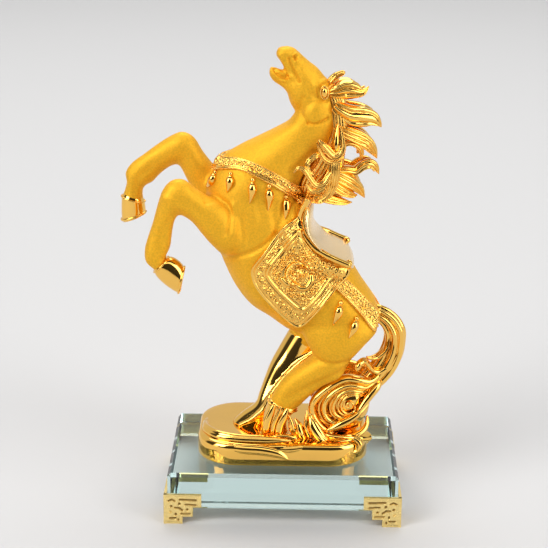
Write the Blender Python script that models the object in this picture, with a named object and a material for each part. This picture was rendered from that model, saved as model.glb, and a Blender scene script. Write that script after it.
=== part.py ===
"""A rearing horse, cast in resin and gilded, on a clear glass plinth with four brass corner feet.

The horse, its mane, saddle, harness, tail, wave scroll and gold base are one casting. It faces -X.
The figure's pose is given on a drawing of it seen from the side, in units of one 254th of the horse's
height: X along the plinth from its middle, Z up from the glass, and the base's top at Z = 15.
Everything else is in metres. Run it with: blender --background --python part.py
"""

import math

import bmesh
import bpy
import numpy as np
from mathutils import Matrix, Vector
from mathutils.bvhtree import BVHTree

# Glass plinth
PLINTH_LENGTH = 0.150
PLINTH_DEPTH = 0.100
PLINTH_HEIGHT = 0.025
PLINTH_CHAMFER = 0.0022

# Corner feet: a wing on each side of the corner, in three steps that narrow downwards
FOOT_DROP = 0.0095
FOOT_TOP_WIDTH = 0.0246
FOOT_MIDDLE_WIDTH = 0.0190
FOOT_BOTTOM_WIDTH = 0.0125
FOOT_TOP_HEIGHT = 0.0088
FOOT_MIDDLE_HEIGHT = 0.0071
FOOT_BOTTOM_HEIGHT = 0.0050
FOOT_WALL = 0.0020
FOOT_SHELF = 0.0018
FRET_WIDTH = 0.0011
FRET_DEPTH = 0.0006

# Gold base
BASE_LENGTH = 0.1130
BASE_WIDTH = 0.0740
BASE_HEIGHT = 0.0152
BASE_CORNER = 0.0260
BASE_SHOULDER = 0.0080
BASE_DISH = 0.0012
BASE_DISH_INSET = 0.0140
BASE_OFFSET = -0.0008
# Height as a share of the base's, and how far in the side stands as a share of the shoulder
BASE_PROFILE = [
    (0.0, 0.15), (0.1, 0.04), (0.35, 0.0), (0.65, 0.05), (0.85, 0.22), (0.97, 0.56), (1.0, 1.0),
]

# Horse
HORSE_HEIGHT = 0.254
TORSO_HALF_WIDTH = 26.5
CLOTH_THICKNESS = 1.7
STRAP_THICKNESS = 1.9
SKIRT_CORD = 2.3
CLOTH_EDGE_CORD = 1.5
CLOTH_BORDER_CORD = 1.3

# Meshing of the figure, in its own units
DRAWN_HEIGHT = 254.0
DRAWN_BASE_TOP = 15.0
BODY_GRAIN = 1.7
FIGURE_GRAIN = 1.05
BODY_SOFTENING = 5
FIGURE_TRIANGLES = 7800
MEND_ROUNDS = 5
TORSO_SIDES = 40
MANE_SIDES = 16
CORD_SIDES = 8
FAR_OUT = 80.0

# Clearance between touching pieces, and how far a cutter stands out of what it cuts
GAP = 0.0003
CUTTER_CLEARANCE = 0.0010

GOLD = (0.83, 0.53, 0.13)
BRASS = (0.72, 0.52, 0.22)
GLASS = (0.72, 0.88, 0.86)

# Torso and neck, tail end to poll: belly x, z, back x, z, half thickness as a share of the barrel's
TORSO = [
    (55, 86, 61, 97, 0.28),
    (43, 78, 58, 106, 0.72),
    (24, 79, 49.5, 118.5, 0.97),
    (4, 83, 41, 131, 1.02),
    (-11, 93, 27, 139, 1.00),
    (-23, 101, 15.5, 147.5, 1.00),
    (-33, 114, 10, 158, 0.98),
    (-41, 131, 7.5, 168.5, 0.95),
    (-49, 151, 8, 178, 0.92),
    (-52, 171, 11, 187, 0.88),
    (-49, 187, 16, 195, 0.78),
    (-41, 199, 23, 202, 0.67),
    (-31, 206, 29, 209, 0.59),
    (-19, 212, 32, 217, 0.53),
    (-8, 217.5, 33, 225, 0.49),
    (0, 222, 31.5, 234, 0.45),
    (4, 227, 28, 242, 0.40),
]

# Head, poll to muzzle: jaw x, z, forehead x, z, half thickness
HEAD = [
    (10, 226, 29, 240, 7.0),
    (4, 229.5, 26.5, 246.5, 9.6),
    (0.5, 236, 23, 250.5, 10.8),
    (0, 241, 18.5, 256, 10.0),
    (0.8, 246.5, 13.5, 259.8, 8.4),
    (-0.5, 251.5, 8, 264.5, 7.0),
    (-3, 256.5, 4, 268, 6.6),
    (-5.2, 260.5, 0.5, 269, 6.6),
    (-7, 263.2, -3.8, 268, 5.6),
    (-7.6, 264.6, -6.2, 267.2, 3.0),
]
EYE = (22.3, 242.6, 9.6, 2.3, 4.0, 1.8)
LOWER_JAW = [
    (1, 238, 10, 246, 8.5),
    (-3.5, 243, 4, 250.5, 6.8),
    (-8, 245.8, -2, 253.2, 5.4),
    (-11, 249, -7, 255.3, 4.8),
    (-12.3, 252.6, -10.8, 256.2, 3.2),
]

# Legs, body to hoof: inner x, z, outer x, z, half thickness, y
FAR_FORELEG = [
    (-52, 158, -32, 180, 12, 11),
    (-60, 170, -44, 186, 10.5, 14),
    (-66, 181, -54, 197, 9.4, 16),
    (-69.5, 187.5, -60.5, 207, 8.4, 17),
    (-72, 189, -68, 210.5, 8.1, 17),
    (-76, 187.5, -76, 207.5, 7.6, 17),
    (-80.5, 184.3, -84.5, 202, 6.7, 17),
    (-84.5, 180.5, -92.5, 196, 6.4, 17),
    (-87.6, 177, -101, 189.5, 7.0, 17),
    (-92, 174.7, -105.3, 183, 6.7, 17),
    (-94.3, 171, -104.6, 176.5, 6.5, 17),
    (-93.4, 164, -107.6, 168, 6.9, 17),
    (-92.8, 157.5, -108.3, 158, 7.3, 17),
    (-93.2, 155.2, -107.7, 149.8, 7.3, 17),
]
NEAR_FORELEG = [
    (-24, 140, -26, 168, 10, -13),
    (-38, 138, -36, 171, 10.6, -16),
    (-46, 144, -43.5, 175, 10.2, -17),
    (-53, 152, -50.5, 177.5, 9.6, -17),
    (-59, 159.5, -58, 182.5, 8.8, -17),
    (-64.5, 163.5, -65, 187.6, 8.4, -17),
    (-68, 164.5, -72.5, 186.8, 8.2, -17),
    (-70.3, 161.5, -78, 180.8, 8.0, -17),
    (-71.6, 157, -81.3, 171.5, 7.2, -17),
    (-72.6, 150.5, -84.5, 160, 6.4, -17),
    (-73.3, 144.5, -87.7, 150.5, 6.5, -17),
    (-75, 140, -90.2, 141, 7.0, -17),
    (-76.5, 137.3, -89.6, 133.3, 6.8, -17),
    (-75.4, 136, -84.5, 127.5, 6.6, -17),
    (-71, 135.4, -79.8, 119.7, 7.1, -17),
    (-66, 131.5, -69.8, 112.8, 7.3, -17),
    (-65, 129, -67.6, 113.2, 7.0, -17),
]
NEAR_HIND_LEG = [
    (6, 100, 58, 98, 12, -11),
    (10, 88, 60, 88, 14, -13.5),
    (14.5, 78, 53, 79, 13.8, -14.5),
    (18, 70.5, 44, 68, 12.2, -15),
    (12, 65, 37, 55.5, 11.4, -15),
    (3, 57.5, 27.5, 50, 10.2, -14.5),
    (-3.8, 49, 18, 42, 9.2, -14),
    (-8, 40.5, 11, 34.5, 8.6, -13.5),
    (-11, 33, 5.5, 28.5, 8.3, -13.5),
    (-14.6, 25, 1.8, 21.5, 9.0, -13.5),
    (-15.6, 16, 2.6, 15, 9.6, -13.5),
    (-15.6, 12.5, 2.6, 12.5, 9.6, -13.5),
]
FAR_HIND_LEG = [
    (4, 96, 50, 96, 13, 11),
    (3, 78, 47, 80, 13.5, 13.5),
    (-3.5, 66, 30, 63, 11.6, 12.5),
    (-9.5, 55, 12, 49.5, 9.4, 9.5),
    (-13.5, 45, 4, 39, 7.8, 6),
    (-16.8, 36, -0.5, 31, 7.4, 3),
    (-19.5, 29, -5, 24, 7.2, 0.5),
    (-28, 22.5, -9.5, 17.5, 7.8, -0.5),
    (-34, 16.5, -12.5, 13.5, 8.6, -0.5),
    (-34, 12.5, -12.5, 12.0, 8.6, -0.5),
]

# Saddle, pommel to cantle: skirt x, z, seat x, z, half thickness
SADDLE = [
    (8.5, 173, 13.5, 176, 19.0),
    (8.2, 167, 17.4, 169.5, 23.0),
    (8.8, 161, 17.2, 162, 26.0),
    (11, 155.5, 18.4, 153.8, 27.0),
    (15.5, 149.5, 23, 146.8, 27.6),
    (22, 143.8, 29.4, 141.4, 27.8),
    (29.5, 139.6, 36, 138.6, 27.4),
    (36.5, 135.8, 41.4, 135.8, 26.0),
    (41, 132, 44, 131.6, 22.0),
]
# The pad under the saddle, which squares the back: inner x, z, outer x, z, half thickness
SADDLE_PAD = [
    (-10, 166, 10, 175, 19),
    (-12, 158, 13, 167, 23),
    (-10, 151, 13.5, 161, 25),
    (-5, 143, 16, 154, 25.6),
    (2, 137, 21, 147, 25.8),
    (10, 131, 27.5, 141.5, 25.8),
    (19, 127, 34, 138, 25.4),
    (27, 123, 40, 134, 23),
    (33, 120, 43, 130, 18),
]
SKIRT_ROLL = [
    (12.5, 177.5), (9.0, 169), (8.4, 163), (10.3, 156.5), (15, 149.5),
    (22, 143), (30, 139.2), (40, 136.5),
]

# Outlines on the flank that the cloth and the straps are cut to
CLOTH_OUTLINE = [
    (7, 166), (-2, 160), (-10.2, 150.5), (-17.6, 140), (-21.8, 134), (-21.5, 126),
    (-17.4, 117), (-11.2, 109), (-5, 102), (1.2, 96.3), (9, 94), (14.5, 96),
    (20, 100), (26, 108), (32, 117), (36.8, 124.4), (40.5, 133), (47, 146), (24, 168),
]
CLOTH_BORDER = [
    (4.3, 155), (-10, 136.5), (-10.5, 131), (-6.5, 119.5), (1, 110.5),
    (9, 105), (13, 106.5), (22.5, 118), (30.8, 131),
]
MEDALLION = (6.3, 129)
MEDALLION_RADIUS = 8.0
BREAST_STRAP_TOP = [
    (-52, 205), (-37.7, 204.4), (-30.5, 203.6), (-24.5, 202.8), (-19.2, 201),
    (-10.2, 196.4), (-2.7, 191.9), (4, 186.5), (11.5, 181.2), (24, 176),
]
BREAST_STRAP_FOOT = [
    (24, 169), (7.9, 175.6), (1.8, 180), (-5.7, 184.2), (-13.2, 189),
    (-20.7, 193.9), (-26, 196), (-32.8, 197.1), (-43, 196.2), (-56, 195),
]
CRUPPER_TOP = [(28, 132), (37.5, 121), (46.8, 112.5), (59, 102.5), (68, 96)]
CRUPPER_FOOT = [(62, 82), (54.5, 90.2), (41.3, 108.3), (32.8, 117), (24, 127)]

# Tassel drops: top x, z, tip x, z
BREAST_DROPS = [
    (-44.5, 197, -50, 185),
    (-35.5, 195.5, -36.6, 183),
    (-21.5, 193, -21.8, 176.5),
    (-11, 187, -11, 171.5),
    (-1.3, 181, -0.9, 166),
]
RUMP_DROPS = [(35.7, 111.5, 30.7, 95.5), (45.3, 101, 39.2, 88)]
# A drop's half width at shares of its length, and the share of it that stands out of the body
DROP_PROFILE = [(0.0, 1.0), (0.2, 2.0), (0.4, 1.6), (0.6, 2.5), (0.8, 1.9), (1.0, 0.6)]
DROP_STANDING_OUT = 0.45

# Strands of mane: x, z, y, half width, half thickness
MANE_CORE = [
    (25, 245, 0, 3, 5), (30, 238, 0, 6, 9), (32, 228, 0, 7, 11), (31.5, 216, 0, 7, 12.5),
    (26.5, 203, 0, 10, 13.5), (21.5, 190, 0, 10.5, 14), (14.5, 178, 0, 7.5, 13), (11, 170, 0, 3, 9),
]
MANE_LOCKS = [
    [(24.5, 245.5, -1, 1.8, 3), (29, 250, -1, 3.1, 3.6), (32.6, 252.6, -1, 2.4, 3),
     (35.4, 253.3, -1, 1.1, 1.4)],
    [(27, 241, -5, 3.8, 5), (35, 243.6, -4, 6, 5.2), (42, 242.2, -3, 5, 4.6),
     (46.6, 242.6, -2.4, 2.6, 3.2), (50, 245, -2, 0.7, 0.8)],
    [(29, 231, -7, 3.6, 5), (38, 232.4, -5.4, 4, 5.4), (46.5, 230.6, -4, 3.8, 5),
     (54, 228.2, -3, 2.8, 3.8), (58.6, 222, -2, 0.8, 1)],
    [(30, 226.5, -8, 3, 5), (39, 224, -6, 3.6, 5.6), (47, 222.2, -4.4, 3.4, 5),
     (53.5, 221.2, -3.4, 2.4, 3.8), (59.2, 220.4, -2, 0.8, 1)],
    [(30, 219, -9, 3.6, 5.4), (39, 214.4, -6.6, 3.8, 5.8), (48, 213, -4.4, 3.6, 5),
     (53.6, 208.6, -3, 2.6, 3.8), (56.8, 200, -2, 0.8, 1)],
    [(30, 213, -10, 3, 5), (38, 210.4, -8, 2.4, 4.6), (44.5, 207.6, -5.6, 2.4, 4),
     (48.4, 203.6, -4, 2.2, 3.6), (51.4, 198.8, -3, 1.8, 3)],
    [(29, 188, -11, 4, 6), (38, 191.2, -8, 4, 6), (47, 195.6, -5, 3, 5),
     (54, 194, -3, 2.6, 3.8), (58.7, 189.6, -2, 0.8, 1)],
    [(28, 184, -11, 3.4, 5.4), (37, 185.2, -8, 3.2, 5.4), (45, 187.4, -5, 2.6, 4.6),
     (52, 189.6, -3, 1.6, 3), (56.4, 189, -2, 0.8, 1)],
    [(26, 180, -12, 3.6, 5.4), (35, 180, -9, 3.4, 5.4), (43, 179.2, -6, 3, 4.8),
     (48, 176.6, -4, 1.8, 3.2), (50.2, 173.8, -3, 0.7, 0.8)],
    [(18, 175, -13, 3, 5), (27, 172.6, -11, 3, 5), (35.4, 170.4, -8, 2.2, 4),
     (41.6, 171.8, -6, 0.7, 0.9)],
    [(31, 220, -12, 3.6, 3.6), (33, 211, -14.5, 3.8, 3.6), (31.6, 203.4, -16, 3.8, 3.4),
     (27.2, 201, -17, 3.6, 3), (22.6, 204.4, -18, 3, 2.6), (17.6, 207.6, -18, 2, 2),
     (12.6, 207.8, -18, 0.8, 0.9)],
    [(30, 199, -15, 3.4, 3.6), (26, 190, -17, 3.8, 3.6), (22, 184.6, -19, 3.2, 3),
     (16.6, 184.4, -20.5, 2.4, 2.4), (12.6, 188.6, -21, 1.6, 1.8), (7.8, 190.8, -21, 0.7, 0.8)],
    [(33, 202, -13, 3, 3.6), (31, 190, -15, 3.4, 3.8), (25, 180, -16, 3.4, 3.6),
     (18, 174, -16, 2.4, 2.6), (12, 173, -16, 1, 1.2)],
]
FAR_SIDE_SHRINK = 0.9

# Tail, root to tip, and the strand that curls in to the thigh
TAIL = [
    (54, 95, 0, 4.5, 5), (61, 94.6, 0, 5.6, 6), (68, 89.6, 0, 6.6, 7), (72, 82.6, 0, 7.4, 8),
    (72.4, 75.5, 0, 7.6, 8.6), (70.4, 66.5, -1, 8.2, 9), (65, 57, -3, 8.8, 9),
    (57.5, 48.5, -5, 8.6, 9), (49, 41, -8, 8, 9), (40, 36, -10, 7, 8),
]
TAIL_CURL = [
    (70, 68, -3, 3.6, 4), (63, 62.4, -6, 3.4, 4), (55.5, 60.6, -9, 3.2, 4),
    (48.6, 62.6, -12, 2.8, 3.6), (43.6, 64.4, -15, 2, 2.6), (41.6, 66.8, -17, 1, 1.2),
]

# Wave scroll behind the hind legs
SCROLL_CENTRE = (39, 34)
SCROLL_Y = -15.0
SCROLL_RADIUS = 19.5
SCROLL_EYE = 3.0
SCROLL_TURNS = 1.9
SCROLL_STEPS = 16
SCROLL_START = 100.0
SCROLL_TUBE = 4.6
SCROLL_TAPER = 0.45
SCROLL_SWELL = 0.45
FAR_SCROLL_Y = 9.0
FAR_SCROLL_SHARE = 0.8
SCROLL_LENS = (37, 30, -5, 19, 20, 12)
WAVES = [
    [(14, 16, -20, 4, 4), (8, 22, -21, 3.4, 3.4), (4.6, 28, -20, 2, 2.2), (2.6, 33, -19, 0.8, 0.8)],
    [(18, 15, -21, 4, 4), (13.4, 22, -22, 3.4, 3.4), (10.6, 27.6, -21, 2, 2.2),
     (9, 33, -20, 0.8, 0.8)],
    [(30, 13, -24, 5, 5), (20, 17, -24, 4.4, 4.4), (13, 23, -22, 3, 3), (11, 30, -20, 0.8, 0.8)],
    [(52, 12, -14, 5, 6), (44, 16, -22, 4.4, 4.4), (33, 15, -26, 4, 4), (24, 13, -27, 2, 2)],
    [(20, 14, 16, 5, 5), (30, 20, 17, 5, 5), (42, 22, 14, 5, 5), (52, 16, 6, 3, 4)],
]
RIM = [
    (-4, 14.6, -30, 2, 2), (-14, 15.2, -31, 2.6, 2.4), (-30, 15.4, -30.5, 2.8, 2.6),
    (-42, 15.3, -26, 2.8, 2.6), (-49.6, 15, -16, 2.6, 2.4), (-51.6, 14.8, -2, 2, 2.2),
    (-50.6, 14.6, 12, 1, 1.4),
]


def smooth_rows(rows, spans):
    """Rows along a smooth curve through the given ones, with this many spans between each two."""
    rows = np.array(rows, dtype=float)
    ends = np.vstack([2 * rows[0] - rows[1], rows, 2 * rows[-1] - rows[-2]])
    t = np.linspace(0, 1, spans, endpoint=False)[:, None]
    pieces = []
    for a, b, c, d in zip(ends, ends[1:], ends[2:], ends[3:]):
        cubic = 2 * a - 5 * b + 4 * c - d
        pieces.append(0.5 * (2 * b + (c - a) * t + cubic * t**2 + (3 * b - a - 3 * c + d) * t**3))
    return np.vstack(pieces + [rows[-1:]])


def skin(rings):
    """A closed mesh over a row of rings of points, with a flat cap on each end."""
    mesh = bmesh.new()
    rows = [[mesh.verts.new(point) for point in ring] for ring in rings]
    sides = len(rows[0])
    for low, high in zip(rows, rows[1:]):
        for i in range(sides):
            j = (i + 1) % sides
            mesh.faces.new((low[i], low[j], high[j], high[i]))
    mesh.faces.new(rows[0][::-1])
    mesh.faces.new(rows[-1])
    bmesh.ops.recalc_face_normals(mesh, faces=mesh.faces)
    return mesh


def section(centre, across, through, sides):
    """An oval ring about a centre, with its two half axes as vectors."""
    angle = np.linspace(0, 2 * math.pi, sides, endpoint=False)[:, None]
    return centre + np.cos(angle) * across + np.sin(angle) * through


def limb(rows, spans=5, sides=28, proud=0.0):
    """A limb given by the two edges that its side view shows, x, z and x, z, and its half thickness."""
    rings = []
    for x1, z1, x2, z2, half, y in smooth_rows(rows, spans):
        centre = np.array([(x1 + x2) / 2, y, (z1 + z2) / 2])
        across = np.array([(x2 - x1) / 2, 0.0, (z2 - z1) / 2])
        across *= 1 + proud / max(np.linalg.norm(across), 1.0)
        rings.append(section(centre, across, np.array([0.0, half + proud, 0.0]), sides))
    return skin(rings)


def strand(rows, spans=4, sides=10):
    """A strand that follows a path, x, z and y, with its half width and half thickness."""
    rows = smooth_rows(rows, spans)
    path = rows[:, [0, 2, 1]]
    heading = np.gradient(path, axis=0)
    heading /= np.linalg.norm(heading, axis=1)[:, None]
    rings = []
    for point, ahead, (wide, thick) in zip(path, heading, rows[:, 3:5]):
        across = np.array([-ahead[2], 0.0, ahead[0]])
        across /= max(np.linalg.norm(across), 1e-6)
        rings.append(section(point, across * wide, np.cross(ahead, across) * thick, sides))
    return skin(rings)


def torso_rows():
    """The torso's rows with their half thickness worked out, on the middle plane."""
    return [(*row[:4], row[4] * TORSO_HALF_WIDTH, 0.0) for row in TORSO]


def centred(rows):
    """Rows without a y, put on the middle plane."""
    return [(*row, 0.0) for row in rows]


def joined(meshes):
    """Several closed meshes put in one, still overlapping."""
    whole = bmesh.new()
    for part in meshes:
        data = bpy.data.meshes.new("part")
        part.to_mesh(data)
        part.free()
        whole.from_mesh(data)
        bpy.data.meshes.remove(data)
    return whole


def object_from(mesh, name):
    """An object in the scene that holds the bmesh, which is freed."""
    data = bpy.data.meshes.new(name)
    mesh.to_mesh(data)
    mesh.free()
    thing = bpy.data.objects.new(name, data)
    bpy.context.collection.objects.link(thing)
    return thing


def applied(thing):
    """The object's mesh as its modifiers leave it, as a bmesh, with the object removed."""
    graph = bpy.context.evaluated_depsgraph_get()
    mesh = bmesh.new()
    mesh.from_object(thing, graph)
    data = thing.data
    bpy.data.objects.remove(thing)
    bpy.data.meshes.remove(data)
    return mesh


def fused(meshes, grain, softness):
    """Overlapping closed meshes made one surface of small faces, and smoothed this many times."""
    thing = object_from(joined(meshes), "fusing")
    remesh = thing.modifiers.new("Remesh", "REMESH")
    remesh.mode = "VOXEL"
    remesh.voxel_size = grain
    if softness:
        smooth = thing.modifiers.new("Smooth", "SMOOTH")
        smooth.factor = 0.5
        smooth.iterations = softness
    return applied(thing)


def mend(mesh):
    """Opens the mesh where it touches itself along an edge, and closes each hole with new faces."""
    for _ in range(MEND_ROUNDS):
        bmesh.ops.triangulate(mesh, faces=mesh.faces)
        pinched = {vert for edge in mesh.edges if len(edge.link_faces) != 2 for vert in edge.verts}
        if not pinched:
            break
        bmesh.ops.delete(mesh, geom=list(pinched), context="VERTS")
        bmesh.ops.holes_fill(mesh, edges=[edge for edge in mesh.edges if edge.is_boundary])
        bmesh.ops.recalc_face_normals(mesh, faces=mesh.faces)


def boolean(first, second, operation):
    """One mesh cut by, or joined to, another."""
    thing = object_from(first, "first")
    other = object_from(second, "second")
    cut = thing.modifiers.new("Boolean", "BOOLEAN")
    cut.operation = operation
    cut.object = other
    cut.solver = "EXACT"
    result = applied(thing)
    data = other.data
    bpy.data.objects.remove(other)
    bpy.data.meshes.remove(data)
    return result


def slab(outline, low_y, high_y):
    """A flat outline in x and z made a solid between two depths."""
    return skin([[(x, y, z) for x, z in outline] for y in (low_y, high_y)])


def skin_depth(tree, x, z, side):
    """The y of the body's surface at a place in the side view, on the near (-1) or far (+1) side.

    Past the body's edge it is that of the nearest place on it.
    """
    hit = tree.ray_cast(Vector((x, side * FAR_OUT, z)), Vector((0, -side, 0)))[0]
    if hit is None:
        hit = tree.find_nearest(Vector((x, side * TORSO_HALF_WIDTH / 2, z)))[0]
    return hit.y


def body():
    """The horse's own body with the pad under its saddle, without mane, tack or tail."""
    limbs = [
        limb(torso_rows(), sides=TORSO_SIDES),
        limb(centred(HEAD)),
        limb(centred(LOWER_JAW)),
        limb(centred(SADDLE_PAD), sides=TORSO_SIDES),
        limb(FAR_FORELEG),
        limb(NEAR_FORELEG),
        limb(NEAR_HIND_LEG),
        limb(FAR_HIND_LEG),
    ]
    return fused(limbs, BODY_GRAIN, BODY_SOFTENING)


def wrapped(outline, proud):
    """A skin of this thickness on the torso, cut to an outline in the side view."""
    shell = limb(torso_rows(), sides=TORSO_SIDES, proud=proud)
    return boolean(shell, slab(outline, -FAR_OUT, FAR_OUT), "INTERSECT")


def cord_on(tree, outline, side, radius, lift=-0.2):
    """A raised cord that follows a line drawn on the flank, lifted off the cloth by this much."""
    rows = []
    for x, z in smooth_rows(outline, 4):
        y = skin_depth(tree, x, z, side) + side * (CLOTH_THICKNESS + lift)
        rows.append((x, z, y, radius, radius))
    return strand(rows, spans=1, sides=CORD_SIDES)


def drop_on(tree, x1, z1, x2, z2, side):
    """A tassel drop that hangs on the body from its top to its tip."""
    rows = []
    for share, radius in DROP_PROFILE:
        x, z = x1 + (x2 - x1) * share, z1 + (z2 - z1) * share
        y = skin_depth(tree, x, z, side) + side * radius * DROP_STANDING_OUT
        rows.append((x, z, y, radius, radius))
    return strand(rows, spans=2, sides=CORD_SIDES)


def medallion(tree, side):
    """A round boss with a raised rim at the middle of the cloth."""
    circle = np.linspace(0, 2 * math.pi, 21)
    rim = [
        (MEDALLION[0] + MEDALLION_RADIUS * math.cos(a), MEDALLION[1] + MEDALLION_RADIUS * math.sin(a))
        for a in circle
    ]
    return cord_on(tree, rim, side, CLOTH_EDGE_CORD)


def tack(tree):
    """Saddle, saddle cloth, straps and drops."""
    parts = [
        limb(centred(SADDLE), sides=32),
        wrapped(CLOTH_OUTLINE, CLOTH_THICKNESS),
        wrapped(BREAST_STRAP_TOP + BREAST_STRAP_FOOT, STRAP_THICKNESS),
        wrapped(CRUPPER_TOP + CRUPPER_FOOT, STRAP_THICKNESS),
    ]
    for side in (-1, 1):
        parts.append(cord_on(tree, SKIRT_ROLL, side, SKIRT_CORD, lift=0.6))
        parts.append(cord_on(tree, CLOTH_BORDER, side, CLOTH_BORDER_CORD))
        parts.append(cord_on(tree, CLOTH_OUTLINE[:-2], side, CLOTH_EDGE_CORD))
        parts.append(medallion(tree, side))
        for drop in BREAST_DROPS + RUMP_DROPS:
            parts.append(drop_on(tree, *drop, side))
    return parts


def mane():
    """The mane's core and its locks, with the far side's locks a little shorter."""
    parts = [strand(MANE_CORE, sides=MANE_SIDES)]
    for lock in MANE_LOCKS:
        parts.append(strand(lock))
        root_x, root_z = lock[0][:2]
        far = []
        for x, z, y, wide, thick in lock:
            far.append((root_x + (x - root_x) * FAR_SIDE_SHRINK,
                        root_z + (z - root_z) * FAR_SIDE_SHRINK, -y, wide, thick))
        parts.append(strand(far))
    return parts


def scroll(y, radius):
    """A spiral wave that winds in to its eye, and swells towards the viewer as it does."""
    rows = []
    steps = int(SCROLL_TURNS * SCROLL_STEPS)
    for i in range(steps + 1):
        share = i / steps
        angle = math.radians(SCROLL_START - 360 * SCROLL_TURNS * share)
        reach = radius + (SCROLL_EYE - radius) * share
        tube = SCROLL_TUBE * (1 - SCROLL_TAPER * share)
        x = SCROLL_CENTRE[0] + reach * math.cos(angle)
        z = SCROLL_CENTRE[1] + reach * math.sin(angle)
        rows.append((x, z, y * (1 + SCROLL_SWELL * share), tube, tube))
    return strand(rows, spans=1)


def ball(x, z, y, rx, rz, ry):
    """A ball stretched to three half sizes."""
    mesh = bmesh.new()
    bmesh.ops.create_uvsphere(mesh, u_segments=24, v_segments=16, radius=1.0)
    bmesh.ops.transform(mesh, matrix=Matrix.Diagonal((rx, ry, rz, 1.0)), verts=mesh.verts)
    bmesh.ops.translate(mesh, vec=(x, y, z), verts=mesh.verts)
    return mesh


def eyes():
    """An oval eye on each side of the head."""
    x, z, y, wide, high, deep = EYE
    return [ball(x, z, side * y, wide, high, deep) for side in (-1, 1)]


def tail_and_waves():
    """The tail, the scroll that it runs into, and the waves about the hooves."""
    parts = [strand(TAIL, sides=MANE_SIDES), strand(TAIL_CURL)]
    parts.append(scroll(SCROLL_Y, SCROLL_RADIUS))
    parts.append(scroll(FAR_SCROLL_Y, SCROLL_RADIUS * FAR_SCROLL_SHARE))
    parts.append(ball(*SCROLL_LENS))
    parts += [strand(wave) for wave in WAVES]
    parts.append(strand(RIM))
    return parts


def rounded_ring(length, width, corner, z, steps=9):
    """A level ring, a rectangle with round corners."""
    points = []
    corner = min(corner, length / 2, width / 2)
    for quarter in range(4):
        sx = 1 if quarter in (0, 3) else -1
        sy = 1 if quarter in (0, 1) else -1
        for i in range(steps):
            angle = math.radians(90 * quarter + 90 * i / (steps - 1))
            points.append((
                sx * (length / 2 - corner) + corner * math.cos(angle),
                sy * (width / 2 - corner) + corner * math.sin(angle),
                z,
            ))
    return points


def base_ring(inset, height):
    """A level ring of the base, this far in from its sides."""
    return rounded_ring(BASE_LENGTH - 2 * inset, BASE_WIDTH - 2 * inset, BASE_CORNER - inset, height)


def gold_base():
    """The base slab in metres: sides that bulge, a rounded shoulder and a slightly dished top."""
    rings = [base_ring(inset * BASE_SHOULDER, share * BASE_HEIGHT) for share, inset in BASE_PROFILE]
    rings.append(base_ring(BASE_DISH_INSET, BASE_HEIGHT - BASE_DISH))
    return skin(rings)


def horse_figure(floor):
    """The whole casting, standing on the level given."""
    horse = body()
    tree = BVHTree.FromBMesh(horse)
    parts = [horse] + eyes() + tack(tree) + mane() + tail_and_waves()
    figure = fused(parts, FIGURE_GRAIN, 1)
    mend(figure)
    keep_outer_surface(figure)
    thing = object_from(figure, "carving")
    thin = thing.modifiers.new("Decimate", "DECIMATE")
    thin.ratio = FIGURE_TRIANGLES / len(thing.data.polygons)
    figure = applied(thing)
    unit = HORSE_HEIGHT / DRAWN_HEIGHT
    figure.transform(Matrix.Translation((0, 0, BASE_HEIGHT)) @ Matrix.Scale(unit, 4)
                     @ Matrix.Translation((0, 0, -DRAWN_BASE_TOP)))
    base = gold_base()
    base.transform(Matrix.Translation((BASE_OFFSET, 0, 0)))
    whole = boolean(base, figure, "UNION")
    mend(whole)
    whole.transform(Matrix.Translation((0, 0, floor)))
    return whole


def keep_outer_surface(mesh):
    """Deletes every closed surface but the largest."""
    left = set(mesh.verts)
    islands = []
    while left:
        front = [left.pop()]
        island = list(front)
        while front:
            vert = front.pop()
            for edge in vert.link_edges:
                other = edge.other_vert(vert)
                if other in left:
                    left.remove(other)
                    front.append(other)
                    island.append(other)
        islands.append(island)
    islands.sort(key=len)
    for island in islands[:-1]:
        bmesh.ops.delete(mesh, geom=island, context="VERTS")


def glass_plinth():
    """The glass block, still without its chamfer, standing on its feet."""
    mesh = bmesh.new()
    bmesh.ops.create_cube(mesh, size=1.0)
    size = Matrix.Diagonal((PLINTH_LENGTH, PLINTH_DEPTH, PLINTH_HEIGHT, 1.0))
    mesh.transform(Matrix.Translation((0, 0, FOOT_DROP + PLINTH_HEIGHT / 2)) @ size)
    return mesh


def foot_outline():
    """One wing of a foot, seen square on: distance from the corner, and height above the table."""
    top = FOOT_BOTTOM_HEIGHT + FOOT_MIDDLE_HEIGHT + FOOT_TOP_HEIGHT
    shoulder = FOOT_BOTTOM_HEIGHT + FOOT_MIDDLE_HEIGHT
    lobe = FOOT_TOP_HEIGHT / 2
    outline = [
        (0, 0), (FOOT_BOTTOM_WIDTH, 0), (FOOT_BOTTOM_WIDTH, FOOT_BOTTOM_HEIGHT),
        (FOOT_MIDDLE_WIDTH, FOOT_BOTTOM_HEIGHT), (FOOT_MIDDLE_WIDTH, shoulder),
    ]
    steps = 5
    for i in range(steps):
        angle = math.radians(-90 + 90 * i / (steps - 1))
        across = FOOT_TOP_WIDTH - lobe + lobe * math.cos(angle)
        outline.append((across, shoulder + lobe + lobe * math.sin(angle)))
    return outline + [(FOOT_TOP_WIDTH, top), (0, top)]


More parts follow.
